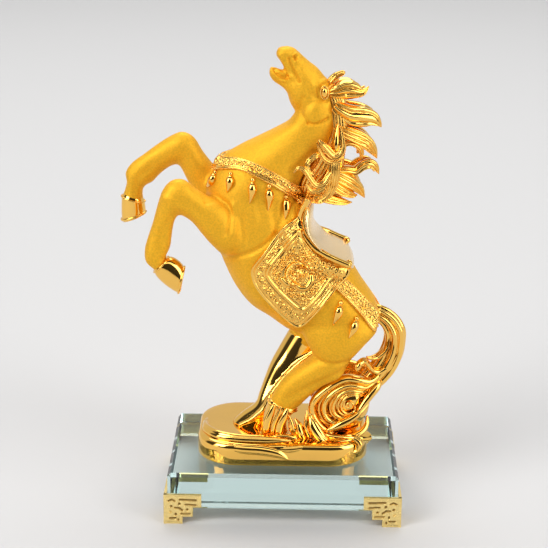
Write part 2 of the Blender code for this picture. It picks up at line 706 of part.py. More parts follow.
def fret_strokes():
    """The fret's strokes on one wing, as boxes: near edge, far edge, foot and top."""
    top = FOOT_BOTTOM_HEIGHT + FOOT_MIDDLE_HEIGHT + FOOT_TOP_HEIGHT
    middle = FOOT_BOTTOM_HEIGHT + FOOT_MIDDLE_HEIGHT
    line = FRET_WIDTH
    return [
        (3.0 * line, 5.5 * line, top - 3.0 * line, top - 2.0 * line),
        (0.42 * FOOT_TOP_WIDTH, FOOT_TOP_WIDTH - 2.6 * line, top - 3.0 * line, top - 2.0 * line),
        (0.55 * FOOT_TOP_WIDTH, FOOT_TOP_WIDTH - 3.2 * line, middle + line, middle + 2.0 * line),
        (3.0 * line, 4.0 * line, middle - 3.5 * line, middle - line),
        (0.45 * FOOT_MIDDLE_WIDTH, 0.75 * FOOT_MIDDLE_WIDTH, middle - 3.0 * line, middle - 2.0 * line),
        (0.60 * FOOT_MIDDLE_WIDTH, FOOT_MIDDLE_WIDTH - 1.6 * line,
         FOOT_BOTTOM_HEIGHT + line, FOOT_BOTTOM_HEIGHT + 2.0 * line),
        (0.35 * FOOT_BOTTOM_WIDTH, 0.65 * FOOT_BOTTOM_WIDTH,
         FOOT_BOTTOM_HEIGHT - 2.0 * line, FOOT_BOTTOM_HEIGHT - line),
    ]


def block(low, high):
    """A box between two corners."""
    mesh = bmesh.new()
    bmesh.ops.create_cube(mesh, size=1.0)
    low, high = Vector(low), Vector(high)
    mesh.transform(Matrix.Translation((low + high) / 2) @ Matrix.Diagonal((*(high - low), 1.0)))
    return mesh


def wing():
    """One wing of a foot along +X, its outer face at y = 0, with the fret cut into it."""
    plate = skin([[(x, y, z) for x, z in foot_outline()] for y in (0.0, FOOT_WALL)])
    cutters = [
        block((near, -CUTTER_CLEARANCE, low), (far, FRET_DEPTH, high))
        for near, far, low, high in fret_strokes()
    ]
    return boolean(plate, joined(cutters), "DIFFERENCE")


def corner_foot():
    """A foot whose outer corner is at the origin, with one wing along +X and one along +Y."""
    first = wing()
    second = wing()
    second.transform(Matrix(((0, 1, 0, 0), (1, 0, 0, 0), (0, 0, 1, 0), (0, 0, 0, 1))))
    bmesh.ops.reverse_faces(second, faces=second.faces)
    shelf_top = FOOT_DROP - GAP
    inset = FOOT_WALL / 2
    shelf = block((inset, inset, shelf_top - FOOT_SHELF), (FOOT_MIDDLE_WIDTH, FOOT_MIDDLE_WIDTH, shelf_top))
    return boolean(boolean(first, second, "UNION"), shelf, "UNION")


def finish(name, colour, metallic, roughness, alpha=1.0):
    """A plain material for one sub-part."""
    material = bpy.data.materials.new(name)
    material.use_nodes = True
    shader = material.node_tree.nodes["Principled BSDF"]
    shader.inputs["Base Color"].default_value = (*colour, 1.0)
    shader.inputs["Metallic"].default_value = metallic
    shader.inputs["Roughness"].default_value = roughness
    shader.inputs["Alpha"].default_value = alpha
    material.diffuse_color = (*colour, alpha)
    return material


def place(mesh, name, material, parent):
    """The mesh as a named object of the model."""
    thing = object_from(mesh, name)
    thing.data.materials.append(material)
    thing.parent = parent
    return thing


def build():
    """The whole model, then moved so that the origin is under the middle of its bounding box."""
    for old in list(bpy.data.objects):
        bpy.data.objects.remove(old)
    figure = horse_figure(FOOT_DROP + PLINTH_HEIGHT + GAP)
    stand = bpy.data.objects.new("stand", None)
    bpy.context.collection.objects.link(stand)
    things = [place(figure, "horse_figure", finish("gilding", GOLD, 1.0, 0.35), stand)]

    plinth = place(glass_plinth(), "glass_plinth", finish("clear glass", GLASS, 0.0, 0.02, 0.35), stand)
    chamfer = plinth.modifiers.new("Chamfer", "BEVEL")
    chamfer.width = PLINTH_CHAMFER
    chamfer.segments = 1
    things.append(plinth)

    brass = finish("brass", BRASS, 1.0, 0.4)
    out = GAP + FOOT_WALL
    for depth, sy in (("front", -1), ("back", 1)):
        for hand, sx in (("left", -1), ("right", 1)):
            foot = corner_foot()
            corner = Vector((sx * (PLINTH_LENGTH / 2 + out), sy * (PLINTH_DEPTH / 2 + out), 0))
            foot.transform(Matrix.Translation(corner) @ Matrix.Diagonal((-sx, -sy, 1, 1)))
            if sx * sy < 0:
                bmesh.ops.reverse_faces(foot, faces=foot.faces)
            things.append(place(foot, f"corner_foot_{depth}_{hand}", brass, stand))

    bpy.context.view_layer.update()
    corners = np.array([thing.matrix_world @ Vector(c) for thing in things for c in thing.bound_box])
    low, high = corners.min(axis=0), corners.max(axis=0)
    stand.location = (-(low[0] + high[0]) / 2, -(low[1] + high[1]) / 2, -low[2])


build()
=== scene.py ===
"""The looks of a gilded rearing horse on a clear glass plinth with four brass corner feet.

The figure is modelled on a drawing of its near side, in drawn units of about a millimetre: X along the
plinth from its middle, Y away from the viewer, Z up from the glass. placed() turns them into the frame.
"""

import math

import bmesh
import bpy
import numpy as np
from bpy.props import FloatProperty, FloatVectorProperty, IntProperty, PointerProperty
from mathutils import Matrix, Vector
from mathutils.bvhtree import BVHTree


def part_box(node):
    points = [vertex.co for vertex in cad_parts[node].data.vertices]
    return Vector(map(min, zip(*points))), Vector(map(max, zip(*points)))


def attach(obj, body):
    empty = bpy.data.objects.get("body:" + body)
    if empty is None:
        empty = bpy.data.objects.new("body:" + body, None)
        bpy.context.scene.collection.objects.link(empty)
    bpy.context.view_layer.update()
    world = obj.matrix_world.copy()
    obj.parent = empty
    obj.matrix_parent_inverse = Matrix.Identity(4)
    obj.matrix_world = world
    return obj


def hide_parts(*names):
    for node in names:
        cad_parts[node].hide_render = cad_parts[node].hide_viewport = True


bl_info = {
    "name": "Gilded horse",
    "version": (1, 0, 0),
    "blender": (4, 5, 0),
    "location": "3D View > Sidebar > Horse",
    "description": "Builds a gilded rearing horse on its glass plinth, piece by piece",
    "category": "Add Mesh",
}

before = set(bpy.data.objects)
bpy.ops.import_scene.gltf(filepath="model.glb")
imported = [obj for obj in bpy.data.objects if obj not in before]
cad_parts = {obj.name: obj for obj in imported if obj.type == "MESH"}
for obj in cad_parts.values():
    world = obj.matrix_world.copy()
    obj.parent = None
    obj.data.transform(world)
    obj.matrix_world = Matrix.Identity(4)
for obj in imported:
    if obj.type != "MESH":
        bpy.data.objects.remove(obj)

BODY = "root"

# Places in the frame, in metres
FIGURE_LOW, FIGURE_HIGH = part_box("horse_figure")
GLASS_LOW, GLASS_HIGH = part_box("glass_plinth")
BASE_HEIGHT = 0.0152
DRAWN_TOP = 268.83
DRAWN_BASE_TOP = 15.0
UNIT = (FIGURE_HIGH.z - FIGURE_LOW.z - BASE_HEIGHT) / (DRAWN_TOP - DRAWN_BASE_TOP)
MIDDLE_X = (GLASS_LOW.x + GLASS_HIGH.x) / 2
BASE_TOP = FIGURE_LOW.z + BASE_HEIGHT

NEAR, FAR = -1, 1
BOTH = (NEAR, FAR)
# Where rays that look for the body start, well clear of it
BESIDE = 80.0

# Torso and neck, tail end to poll: belly x, z, back x, z, half thickness as a share of the barrel's
TORSO_HALF_WIDTH = 26.5
TORSO = [
    (55, 86, 61, 97, 0.28), (43, 78, 58, 106, 0.72), (24, 79, 49.5, 118.5, 0.97),
    (4, 83, 41, 131, 1.02), (-11, 93, 27, 139, 1.00), (-23, 101, 15.5, 147.5, 1.00),
    (-33, 114, 10, 158, 0.98), (-41, 131, 7.5, 168.5, 0.95), (-49, 151, 8, 178, 0.92),
    (-52, 171, 11, 187, 0.88), (-49, 187, 16, 195, 0.78), (-41, 199, 23, 202, 0.67),
    (-31, 206, 29, 209, 0.59), (-19, 212, 32, 217, 0.53), (-8, 217.5, 33, 225, 0.49),
    (0, 222, 31.5, 234, 0.45), (4, 227, 28, 242, 0.40),
]

# The pad under the saddle, which squares the back: inner x, z, outer x, z, half thickness
SADDLE_PAD = [
    (-10, 166, 10, 175, 19), (-12, 158, 13, 167, 23), (-10, 151, 13.5, 161, 25),
    (-5, 143, 16, 154, 25.6), (2, 137, 21, 147, 25.8), (10, 131, 27.5, 141.5, 25.8),
    (19, 127, 34, 138, 25.4), (27, 123, 40, 134, 23), (33, 120, 43, 130, 18),
]

# Head, poll to muzzle: jaw x, z, forehead x, z, half thickness
HEAD = [
    (10, 226, 29, 240, 7.0), (4, 229.5, 26.5, 246.5, 9.6), (0.5, 236, 23, 250.5, 10.8),
    (0, 241, 18.5, 256, 10.0), (0.8, 246.5, 13.5, 259.8, 8.4), (-0.5, 251.5, 8, 264.5, 7.0),
    (-3, 256.5, 4.2, 268, 6.6), (-5.4, 260.4, 0.5, 269.4, 6.6), (-7.4, 263, -3.6, 269.2, 5.8),
    (-8.2, 264.4, -6.4, 268.6, 3.6),
]
LOWER_JAW = [
    (2.2, 233, 12, 243, 9.0), (-0.8, 240.6, 6.4, 248, 8.0), (-4.6, 244.4, 1.6, 251.4, 6.6),
    (-8.6, 246.8, -3.2, 254.2, 5.4), (-11.2, 249.8, -7.6, 256, 4.8), (-12.4, 253.2, -10.8, 257, 3.2),
]
EYE = (22.7, 242.2, 9.5, 1.9, 3.4, 1.8)

# Legs, body to hoof: inner x, z, outer x, z, half thickness, y
FAR_FORELEG = [
    (-52, 158, -32, 180, 12, 11), (-60, 170, -44, 186, 10.5, 14), (-66, 181, -54, 197, 9.4, 16),
    (-69.5, 187.5, -60.5, 207, 8.4, 17), (-72, 189, -68, 210.5, 8.1, 17),
    (-76, 187.5, -76, 207.5, 7.6, 17), (-80.5, 184.3, -84.5, 202, 6.7, 17),
    (-84.5, 180.5, -92.5, 196, 6.4, 17), (-87.6, 177, -101, 189.5, 7.0, 17),
    (-92, 174.7, -105.3, 183, 6.7, 17), (-94.3, 171, -104.6, 176.5, 6.5, 17),
    (-93.8, 164, -107.0, 168, 6.5, 17), (-94.0, 160, -106.6, 162, 6.0, 17),
]
FAR_FORE_HOOF = [
    (-94.2, 166.5, -106.6, 169.5, 6.0, 17), (-93.2, 163.6, -107.9, 167.2, 7.1, 17),
    (-92.9, 161.0, -108.3, 163.5, 7.3, 17), (-92.6, 158.6, -108.5, 157.5, 7.5, 17),
    (-92.8, 156.6, -108.3, 151.4, 7.5, 17), (-93.2, 155.4, -107.6, 149.8, 7.0, 17),
]
NEAR_FORELEG = [
    (-24, 140, -26, 168, 10, -13), (-38, 138, -36, 171, 10.6, -16), (-46, 144, -43.5, 175, 10.2, -17),
    (-53, 152, -50.5, 177.5, 9.6, -17), (-59, 159.5, -58, 182.5, 8.8, -17),
    (-64.5, 163.5, -65, 187.6, 8.4, -17), (-68, 164.5, -72.5, 186.8, 8.2, -17),
    (-70.3, 161.5, -78, 180.8, 8.0, -17), (-71.6, 157, -81.3, 171.5, 7.2, -17),
    (-72.6, 150.5, -84.5, 160, 6.4, -17), (-73.3, 144.5, -87.7, 150.5, 6.5, -17),
    (-75, 140, -90.2, 141, 7.0, -17), (-76.5, 137.3, -89.6, 133.3, 6.8, -17),
    (-76.4, 134.6, -84.2, 127.9, 6.4, -17), (-73, 132, -80, 122.5, 5.8, -17),
]
NEAR_FORE_HOOF = [
    (-76.6, 134.6, -84.6, 128.6, 6.0, -17), (-75.2, 136.0, -84.2, 126.6, 6.8, -17),
    (-72.6, 136.2, -82.2, 122.8, 7.2, -17), (-69.4, 134.6, -77.4, 118.0, 7.4, -17),
    (-66.6, 132.0, -72.4, 114.4, 7.5, -17), (-65.0, 129.4, -68.8, 112.6, 7.4, -17),
    (-64.6, 128.4, -67.4, 113.0, 6.9, -17),
]
NEAR_HIND_LEG = [
    (6, 100, 58, 98, 12, -11), (10, 88, 60, 88, 14, -13.5), (14.5, 78, 53, 79, 13.8, -14.5),
    (18, 70.5, 44, 68, 12.2, -15), (12, 65, 37, 55.5, 11.4, -15), (3, 57.5, 27.5, 50, 10.2, -14.5),
    (-3.8, 49, 18, 42, 9.2, -14), (-8, 40.5, 11, 34.5, 8.6, -13.5), (-10.4, 33, 4.9, 28.5, 7.9, -13.5),
    (-13, 26, 0.6, 22, 7.6, -13.5),
]
NEAR_HIND_HOOF = [
    (-9.4, 38.4, 8.8, 32.6, 7.6, -13.5), (-10.6, 36.6, 8.4, 30.6, 8.7, -13.5),
    (-12.4, 31, 4.6, 26.6, 8.6, -13.5), (-14.0, 25.4, 2.0, 21.6, 9.0, -13.5),
    (-15.4, 19, 2.2, 17, 9.6, -13.5), (-15.8, 15.2, 2.8, 14.4, 9.9, -13.5),
    (-15.8, 12.5, 2.8, 12.5, 9.9, -13.5),
]
FAR_HIP = [
    (4, 96, 50, 96, 13, 11), (3, 78, 47, 80, 13.5, 13.5), (-1, 70, 38, 70, 12.4, 13),
    (-3, 66, 31, 65, 10.5, 12.5),
]
FAR_HIND_LEG = [
    (2, 76, 42, 77, 12.6, 13.5), (-3.5, 66, 30, 63, 11.8, 12.5), (-9.5, 55, 12, 49.5, 9.6, 9.5),
    (-13.5, 45, 4, 39, 8.0, 6), (-16.8, 36, -0.5, 31, 7.6, 3), (-19.5, 29, -5, 24, 7.4, 0.5),
    (-28, 22.5, -9.5, 17.5, 8.0, -0.5), (-34, 16.5, -12.5, 13.5, 8.6, -0.5),
    (-34, 12.5, -12.5, 12.0, 8.6, -0.5),
]

# Saddle, pommel to cantle: skirt x, z, seat x, z, half thickness
SADDLE = [
    (8.5, 173, 13.5, 176, 19.0), (8.2, 167, 17.4, 169.5, 23.0), (8.8, 161, 17.2, 162, 26.0),
    (11, 155.5, 18.4, 153.8, 27.0), (15.5, 149.5, 23, 146.8, 27.6), (22, 143.8, 29.4, 141.4, 27.8),
    (29.5, 139.6, 36, 138.6, 27.4), (36.5, 135.8, 41.4, 135.8, 26.0), (41, 132, 44, 131.6, 22.0),
]
SKIRT_ROLL = [
    (13.2, 177.5), (12.0, 174.2), (9.4, 168.6), (8.6, 163), (9.8, 156.8), (13.4, 151), (18.8, 145.6),
    (25.4, 142.4), (32.4, 139.1), (40.4, 135.8),
]
SEAT_ROLL = [
    (12.8, 171.4), (11.6, 168), (11.0, 163), (12.1, 157.6), (14.4, 153.4),
]

# Outlines on the flank, in the side view
CLOTH_OUTLINE = [
    (8.4, 167), (0.6, 161.8), (-6, 154.4), (-13.1, 144.9), (-19.4, 136.4), (-21.9, 131), (-21.2, 125.2),
    (-18.9, 119.6), (-14.6, 113.4), (-9.6, 107.4), (-4.8, 102), (0.2, 97.2), (5, 93.4), (9, 92),
    (13, 94), (17.6, 99.2), (23, 106), (28.6, 113.3), (34, 119.8), (38.4, 125.4), (41.4, 132.8),
    (33, 137.6), (24, 141.4), (17, 146.6), (12, 153.6), (9.8, 161),
]
CLOTH_BORDER = [
    (9.6, 158.6), (6.9, 155.4), (2, 149.8), (-3.6, 142.4), (-9.2, 135.4), (-11.4, 130.4), (-10.4, 126.4),
    (-6.6, 121.2), (-1.6, 115.8), (4.2, 110.4), (9, 106.6), (12.4, 106.4), (16.6, 110), (21.4, 115.2),
    (27, 122.8), (31.8, 130.2), (34, 134.6),
]
# The medallion's middle, and the lines of its wave and plume about it
MEDALLION = (6.6, 129.4)
MEDALLION_WAVE = [
    (-8.6, -3.4), (-5.4, -6.6), (-1.4, -6.2), (2.2, -9.2), (6.4, -9.4), (9.2, -6.0), (9.6, -2.4),
]
MEDALLION_PLUME = [(-1.5, 8.8), (2.6, 7.0), (5.4, 3.8), (6.6, 0.4)]
BREAST_STRAP_TOP = [
    (-60, 199.2), (-45, 199.2), (-38.4, 199.3), (-31.7, 200.3), (-26, 200), (-20.9, 199), (-13.7, 196.4),
    (-6.5, 192.8), (-1, 189.4), (4, 185.2), (11.5, 178.6), (24, 170),
]
BREAST_STRAP_FOOT = [
    (-60, 189.4), (-48, 190), (-42.9, 191.9), (-36, 193.6), (-31, 194.2), (-25.6, 193.3), (-20.8, 191.4),
    (-14, 188.4), (-8.3, 185.2), (-3, 181.4), (1.6, 177.6), (7.7, 171.4), (24, 160),
]
CRUPPER_TOP = [(28, 131.6), (38, 123.4), (42.7, 118.3), (48, 112.4), (54.1, 105.6), (60, 99), (70, 89)]
CRUPPER_FOOT = [(22, 127.4), (33.6, 117.1), (39.4, 111.1), (45.4, 104.3), (51.5, 96), (57, 88.6), (66, 77)]
# Each strap's two edges, and where it starts beyond the body's middle plane and ends on the flank, in x
STRAPS = [
    (BREAST_STRAP_FOOT, BREAST_STRAP_TOP, (-90.0, 20.0)),
    (CRUPPER_FOOT, CRUPPER_TOP, (90.0, 30.0)),
]

# Tassel drops: top x, z, tip x, z
BREAST_DROPS = [
    (-44.7, 191.3, -51.2, 178.2), (-35.1, 192.6, -37, 179.6), (-21.2, 190.6, -22.4, 174.2),
    (-10.9, 186.8, -10.8, 169.4), (-0.4, 178.8, -0.2, 163.6),
]
RUMP_DROPS = [(35.8, 111.6, 31.2, 94.6), (46.4, 100.2, 41.6, 86.6)]
# Along a drop from its ring to its tip: share of its length, half width, lean of its flame to one side
DROP_PROFILE = [
    (0.0, 0.6, 0), (0.04, 1.4, 0), (0.10, 1.6, 0), (0.16, 1.1, 0), (0.21, 1.8, 0), (0.29, 2.6, 0.1),
    (0.39, 2.95, 0.2), (0.50, 2.8, 0.3), (0.61, 2.3, 0.2), (0.73, 1.7, 0), (0.86, 1.0, -0.3),
    (1.0, 0.15, -0.7),
]

# Strands of mane: x, z, y, half width, half thickness
MANE_CORE = [
    (25, 245, 0, 3, 5), (29.5, 238, 0, 5.4, 9), (31.5, 229, 0, 6.2, 11), (32.5, 218, 0, 6.4, 12.5),
    (29.5, 206, 0, 8, 13.5), (24.4, 193, 0, 10.6, 14), (17.0, 180.6, 0, 10.6, 13), (12.6, 171, 0, 3, 9),
]
# Each lock: broad leaves first, then the curls that lie on the neck
MANE_LOCKS = [
    [(24.6, 243, -1, 2, 3), (26.4, 247.6, -1, 2.4, 3.2), (29, 250.8, -1, 2.3, 3),
     (31.8, 252.6, -1, 1.8, 2.4), (34.4, 253.4, -1, 1.6, 2), (35.6, 253.6, -1, 0.4, 0.5)],
    [(26, 241.6, -5, 3, 4.6), (30.4, 242.4, -5, 4.6, 5.4), (35.6, 243.6, -4, 6.3, 5.4),
     (41, 242.8, -3.4, 5.6, 4.8), (45.8, 241.8, -3, 3.2, 3.4), (48.6, 243.2, -2.4, 1.6, 1.8),
     (50.4, 245.2, -2, 0.3, 0.4)],
    [(29, 234, -7, 3.6, 5), (33.4, 231, -7, 5, 6), (39.4, 227.8, -6, 6.4, 6), (46.8, 226.4, -4.6, 6.5, 5),
     (53, 225, -3.4, 5, 3.8), (57, 222, -2.4, 2.4, 2.4), (59, 219.4, -2, 0.3, 0.4)],
    [(31, 219.6, -8, 3.6, 5), (37.4, 216.6, -7, 4.6, 5.6), (44.6, 213, -5.4, 5.2, 5),
     (50.4, 209.2, -4, 4.4, 4), (54.2, 204.4, -3, 2.9, 2.8), (56.8, 199.2, -2, 0.3, 0.4)],
    [(30, 211.4, -9, 1.6, 3), (34.4, 209.8, -8.4, 1.9, 3), (39.6, 210.2, -7.4, 1.9, 2.8),
     (44.4, 208, -6.4, 1.9, 2.6), (46.8, 204, -5.6, 1.7, 2.4), (46.6, 199.4, -5, 0.9, 1.4)],
    [(31, 193.6, -11, 2.4, 4.4), (37.4, 193.2, -9, 2.8, 4.4), (42.9, 192.2, -7, 3, 4.2),
     (47.6, 195, -5.6, 3.2, 3.6), (52.2, 196.2, -4.2, 3.4, 3.2), (56, 193.8, -3, 2.4, 2.4),
     (58.4, 189, -2, 0.3, 0.4)],
    [(28, 192.6, -12, 3, 4.6), (34, 189.4, -10.6, 4.6, 5.4), (40.2, 185.4, -8.4, 4.8, 5),
     (45.4, 180.6, -6, 3.6, 3.6), (48, 176.8, -4.8, 1.9, 2.2), (49.6, 173.8, -4, 0.3, 0.4)],
    [(27, 187, -12.6, 3.4, 4.6), (32, 182.6, -11.4, 3.8, 4.8), (37.4, 178.8, -9.4, 3.4, 4.2),
     (42, 176.4, -7.4, 2, 2.6), (44.8, 176.2, -6.4, 0.3, 0.4)],
    [(17, 178.4, -13.6, 3, 4), (24, 176.4, -12.6, 3.8, 4.6), (30.8, 173.8, -10.6, 3.2, 4),
     (36.8, 172, -8.4, 2.1, 2.8), (41.6, 171.4, -6.6, 0.3, 0.4)],
    [(29, 203, -13, 2.6, 3.4), (29.4, 197, -14, 4, 4), (28.8, 188.4, -14.6, 4.4, 4.2),
     (26.4, 180.4, -14.8, 3.6, 3.8), (21.4, 175, -14.6, 2.6, 2.8), (15.6, 173, -14, 0.5, 0.6)],
    [(33, 222, -12.6, 0.6, 1), (34, 215.6, -13.8, 1.5, 2.2), (34.4, 209.6, -15, 2, 2.6),
     (32.6, 205, -16, 2.4, 2.6), (29, 204.2, -17, 2.7, 2.6), (25.4, 207.6, -18, 2.7, 2.4),
     (21.6, 211.8, -18, 1.9, 1.9), (19.2, 214.4, -17.6, 0.5, 0.6)],
    [(31.4, 223, -11.6, 0.5, 0.8), (30.8, 216.4, -12.8, 2.1, 2.4), (30.4, 209.6, -13.8, 2.7, 2.8),
     (29.8, 204.6, -14.4, 1.4, 1.6)],
    [(35, 203, -13, 1.2, 1.6), (31, 200.4, -15, 1.7, 2), (26.4, 200.2, -16.6, 1.8, 2),
     (22.4, 203.4, -17.4, 1.7, 1.8), (20, 208.6, -17.6, 1.2, 1.3), (18.4, 212.6, -17.4, 0.4, 0.5)],
    [(27.6, 193, -15.4, 2.6, 2.8), (23.4, 186.6, -17.4, 2.6, 2.6), (18.6, 185.6, -19.2, 2, 2),
     (14.6, 190.4, -20.2, 1.9, 1.8), (11, 195.6, -20.2, 1.9, 1.7), (7, 196.6, -20, 1.3, 1.2),
     (4.2, 193.4, -20, 0.4, 0.5)],
    [(23.6, 184, -17, 2, 2.2), (19.4, 181.8, -18.6, 1.9, 2), (15, 182.4, -20, 1.6, 1.6),
     (12.2, 186.8, -20.6, 0.5, 0.6)],
    [(21, 205, -15, 1.6, 2), (16.8, 203.4, -17.2, 2, 2), (13, 199.6, -19, 1.8, 1.8),
     (13.6, 194.6, -19.8, 1.3, 1.4), (17, 192.4, -19.4, 0.5, 0.6)],
]
LOCK_GROOVES = [2, 3, 2, 4, 2, 2, 3, 3, 3, 6, 2, 1, 2, 2, 2, 2]
FAR_SIDE_SHRINK = 0.9
FAR_SCROLL_SHARE = 0.8

# Tail, root to tip, and the strand that curls in to the thigh
TAIL = [
    (54, 95, 0, 4.5, 5), (61, 94.6, 0, 5.6, 6), (68, 89.6, 0, 6.6, 7), (72, 82.6, 0, 7.4, 8),
    (72.4, 75.5, 0, 7.6, 8.6), (70.4, 66.5, -1, 8.2, 9), (65.6, 57.6, -2, 8.6, 9),
    (58.6, 49.4, -3.4, 8.0, 8.6), (51.6, 42.4, -4.6, 6.6, 7.4), (46, 37, -5, 4, 4.6),
]
TAIL_CURLS = [
    [(74, 67, -3, 3, 4), (69, 60, -6, 3.3, 4), (62.4, 56.6, -9, 3, 3.6), (57.6, 58.8, -11, 2.6, 3.2),
     (54.8, 63, -14, 2.5, 3), (52, 67, -17, 2.5, 2.8), (49, 66.6, -20.4, 2.4, 2.4),
     (47.4, 63.6, -22, 1.9, 1.9), (46.8, 61.4, -22, 0.4, 0.5)],
    [(68.6, 84, -1, 2.2, 4), (68.6, 76, -2, 2.6, 4.2), (66.4, 70, -4, 2.7, 3.8), (61.6, 66.8, -7, 2.4, 3.2),
     (57, 66.4, -10, 1.7, 2.2), (53.6, 68, -12, 0.5, 0.7)],
]

# Wave scroll behind the hind legs: lines that wind from the tail over the top and round to the eye,
# each x, z, y, with finer ridges set between each line and the next
SCROLL_LENS = (38, 33, -5, 19, 19, 12)
SCROLL_LINES = [
    [(67, 57, -3), (57, 51.6, -12), (49, 53, -15), (41, 54, -15.5), (33, 50.6, -16), (25.5, 45, -16.5),
     (20.4, 39.4, -17), (18.6, 33.6, -17.5), (20.6, 27, -18.5), (25.4, 21, -19.5), (32, 16.6, -20)],
    [(65, 51.4, -3), (55, 47.6, -12.6), (49, 48.8, -16), (42.5, 49.6, -16.6), (35.9, 47.2, -17),
     (30, 42.4, -17.5), (26.9, 37, -18), (26.7, 31.5, -18.6), (29.3, 26.6, -19.4), (34.8, 24.2, -20),
     (41.5, 25.2, -19.5)],
    [(61, 46.4, -4), (53, 44.6, -13.2), (47.7, 45.6, -16.6), (42.5, 46.4, -17.4), (37.2, 43.7, -18),
     (33.9, 39.1, -18.4), (32.6, 34.2, -18.6), (34.2, 30, -19), (38, 27.9, -19), (43, 28.1, -18.4),
     (48.4, 31, -17)],
    [(57, 41.6, -6), (51.4, 41.6, -14), (47.8, 43, -17), (43.6, 43.2, -18), (40, 41.2, -18.6),
     (38, 37.8, -19), (38.1, 34.2, -19), (40.2, 31.2, -19), (43.8, 30.6, -18.6), (46.6, 32.4, -18),
     (46.6, 35.4, -17.6)],
]
SCROLL_EYE = (43.0, 35.6, -18.0)
# Between two lines: share of the way, half width
SCROLL_RIDGES = [
    [(0.0, 3.1), (0.56, 1.1)],
    [(0.0, 2.3), (0.60, 0.8), (0.82, 0.8)],
    [(0.0, 1.5), (0.55, 0.9)],
    [(0.0, 1.1)],
]
SCROLL_LEAVES = [
    [(56, 35.6, -13, 0.6, 1), (51, 31.6, -16.4, 1.9, 2.6), (45.4, 27.6, -19, 2.9, 3.4),
     (39.4, 24.4, -21, 3.5, 3.6), (33.6, 21.8, -22, 2.7, 3), (29.4, 20, -22.4, 1.4, 1.6),
     (26.6, 19.2, -22.6, 0.3, 0.4)],
    [(65, 52, -4, 0.6, 1), (61.6, 46.6, -9, 2.8, 3.4), (56.4, 41, -13, 2.9, 3.4),
     (52.2, 36, -16, 2.5, 3), (49.2, 31.2, -18, 1.7, 2.2), (47.6, 27.2, -19.6, 0.5, 0.7)],
    [(26, 17, -21, 1.1, 1.4), (32, 15.8, -23, 1.8, 2), (39, 15.4, -24, 2.1, 2.2),
     (46, 16.2, -23.4, 2.2, 2.4), (52, 18.8, -20.4, 2, 2.2), (55, 22.6, -17, 1.6, 1.8),
     (55.2, 27.4, -14.4, 0.7, 0.9)],
]
WAVES = [
    [(13, 13, -21, 4, 4.6), (11, 18, -22.6, 3.6, 4), (9.8, 23, -22, 2.4, 2.8), (7.2, 27.6, -21, 0.4, 0.5)],
    [(17, 16, -21.6, 2.8, 3.4), (15, 22, -22.2, 2.2, 2.6), (14.8, 28, -21, 1.3, 1.6),
     (15.4, 33, -19.6, 0.3, 0.4)],
    [(27, 13, -25, 3.4, 4), (23.4, 17.4, -25.4, 4, 4), (20.2, 22.4, -24, 4, 3.8),
     (18.2, 27.2, -22, 2.6, 2.8), (17, 31.4, -20.4, 0.3, 0.4)],
    [(8, 13.4, -24, 3, 3.4), (2, 15.4, -25, 2.6, 2.8), (-5, 15.8, -25.4, 1.7, 2),
     (-11, 14.8, -25, 0.3, 0.4)],
    [(9, 15, -20, 3, 3.6), (5.8, 20.4, -21.4, 2.5, 2.8), (4.4, 26, -21, 1.5, 1.8), (2, 31, -20, 0.3, 0.4)],
    [(54, 12, -14, 5, 6), (48, 13.4, -21, 4.4, 4.6), (38, 12.8, -26, 4, 4), (28, 12.6, -28, 2.4, 2.6),
     (20, 13.4, -29, 0.4, 0.5)],
    [(40, 16, -24, 1.6, 2), (46, 16.6, -26.4, 2.6, 2.6), (50, 13.6, -28.6, 2.6, 2.6),
     (48.6, 9, -30, 1.8, 1.8), (44, 7.6, -30.4, 0.4, 0.5)],
    [(20, 14, 16, 5, 5), (30, 20, 17, 5, 5), (42, 22, 14, 5, 5), (52, 16, 6, 3, 4)],
]
RIM = [
    [(-51.8, 14.4, 8, 0.4, 0.5), (-52.6, 14.8, -2, 2, 2), (-50.8, 15.4, -14, 3.4, 3.2),
     (-42.6, 15.8, -25, 3.9, 3.4), (-30, 15.8, -29.4, 3.5, 3.2), (-16, 15.8, -30.4, 3.2, 3),
     (-4, 15.4, -30, 2.2, 2.2), (7, 14.6, -28.6, 0.3, 0.4)],
    [(-53.2, 10.2, -7, 0.4, 0.5), (-51.4, 11, -19, 2.6, 2.4), (-42.6, 11.4, -29.6, 3.6, 3.2),
     (-28, 11.2, -34.4, 3.8, 3.2), (-14, 10.6, -35.4, 3.9, 3), (-4, 8.8, -35.8, 3.4, 2.8),
     (2, 5.8, -36, 1.8, 1.8), (4.4, 4.2, -36, 0.3, 0.4)],
    [(-10, 11.6, -34.4, 0.5, 0.6), (2, 11.4, -35, 2.6, 2.4), (12, 12.4, -34.4, 2.2, 2.1),
     (22, 13.8, -32.4, 0.4, 0.5)],
]

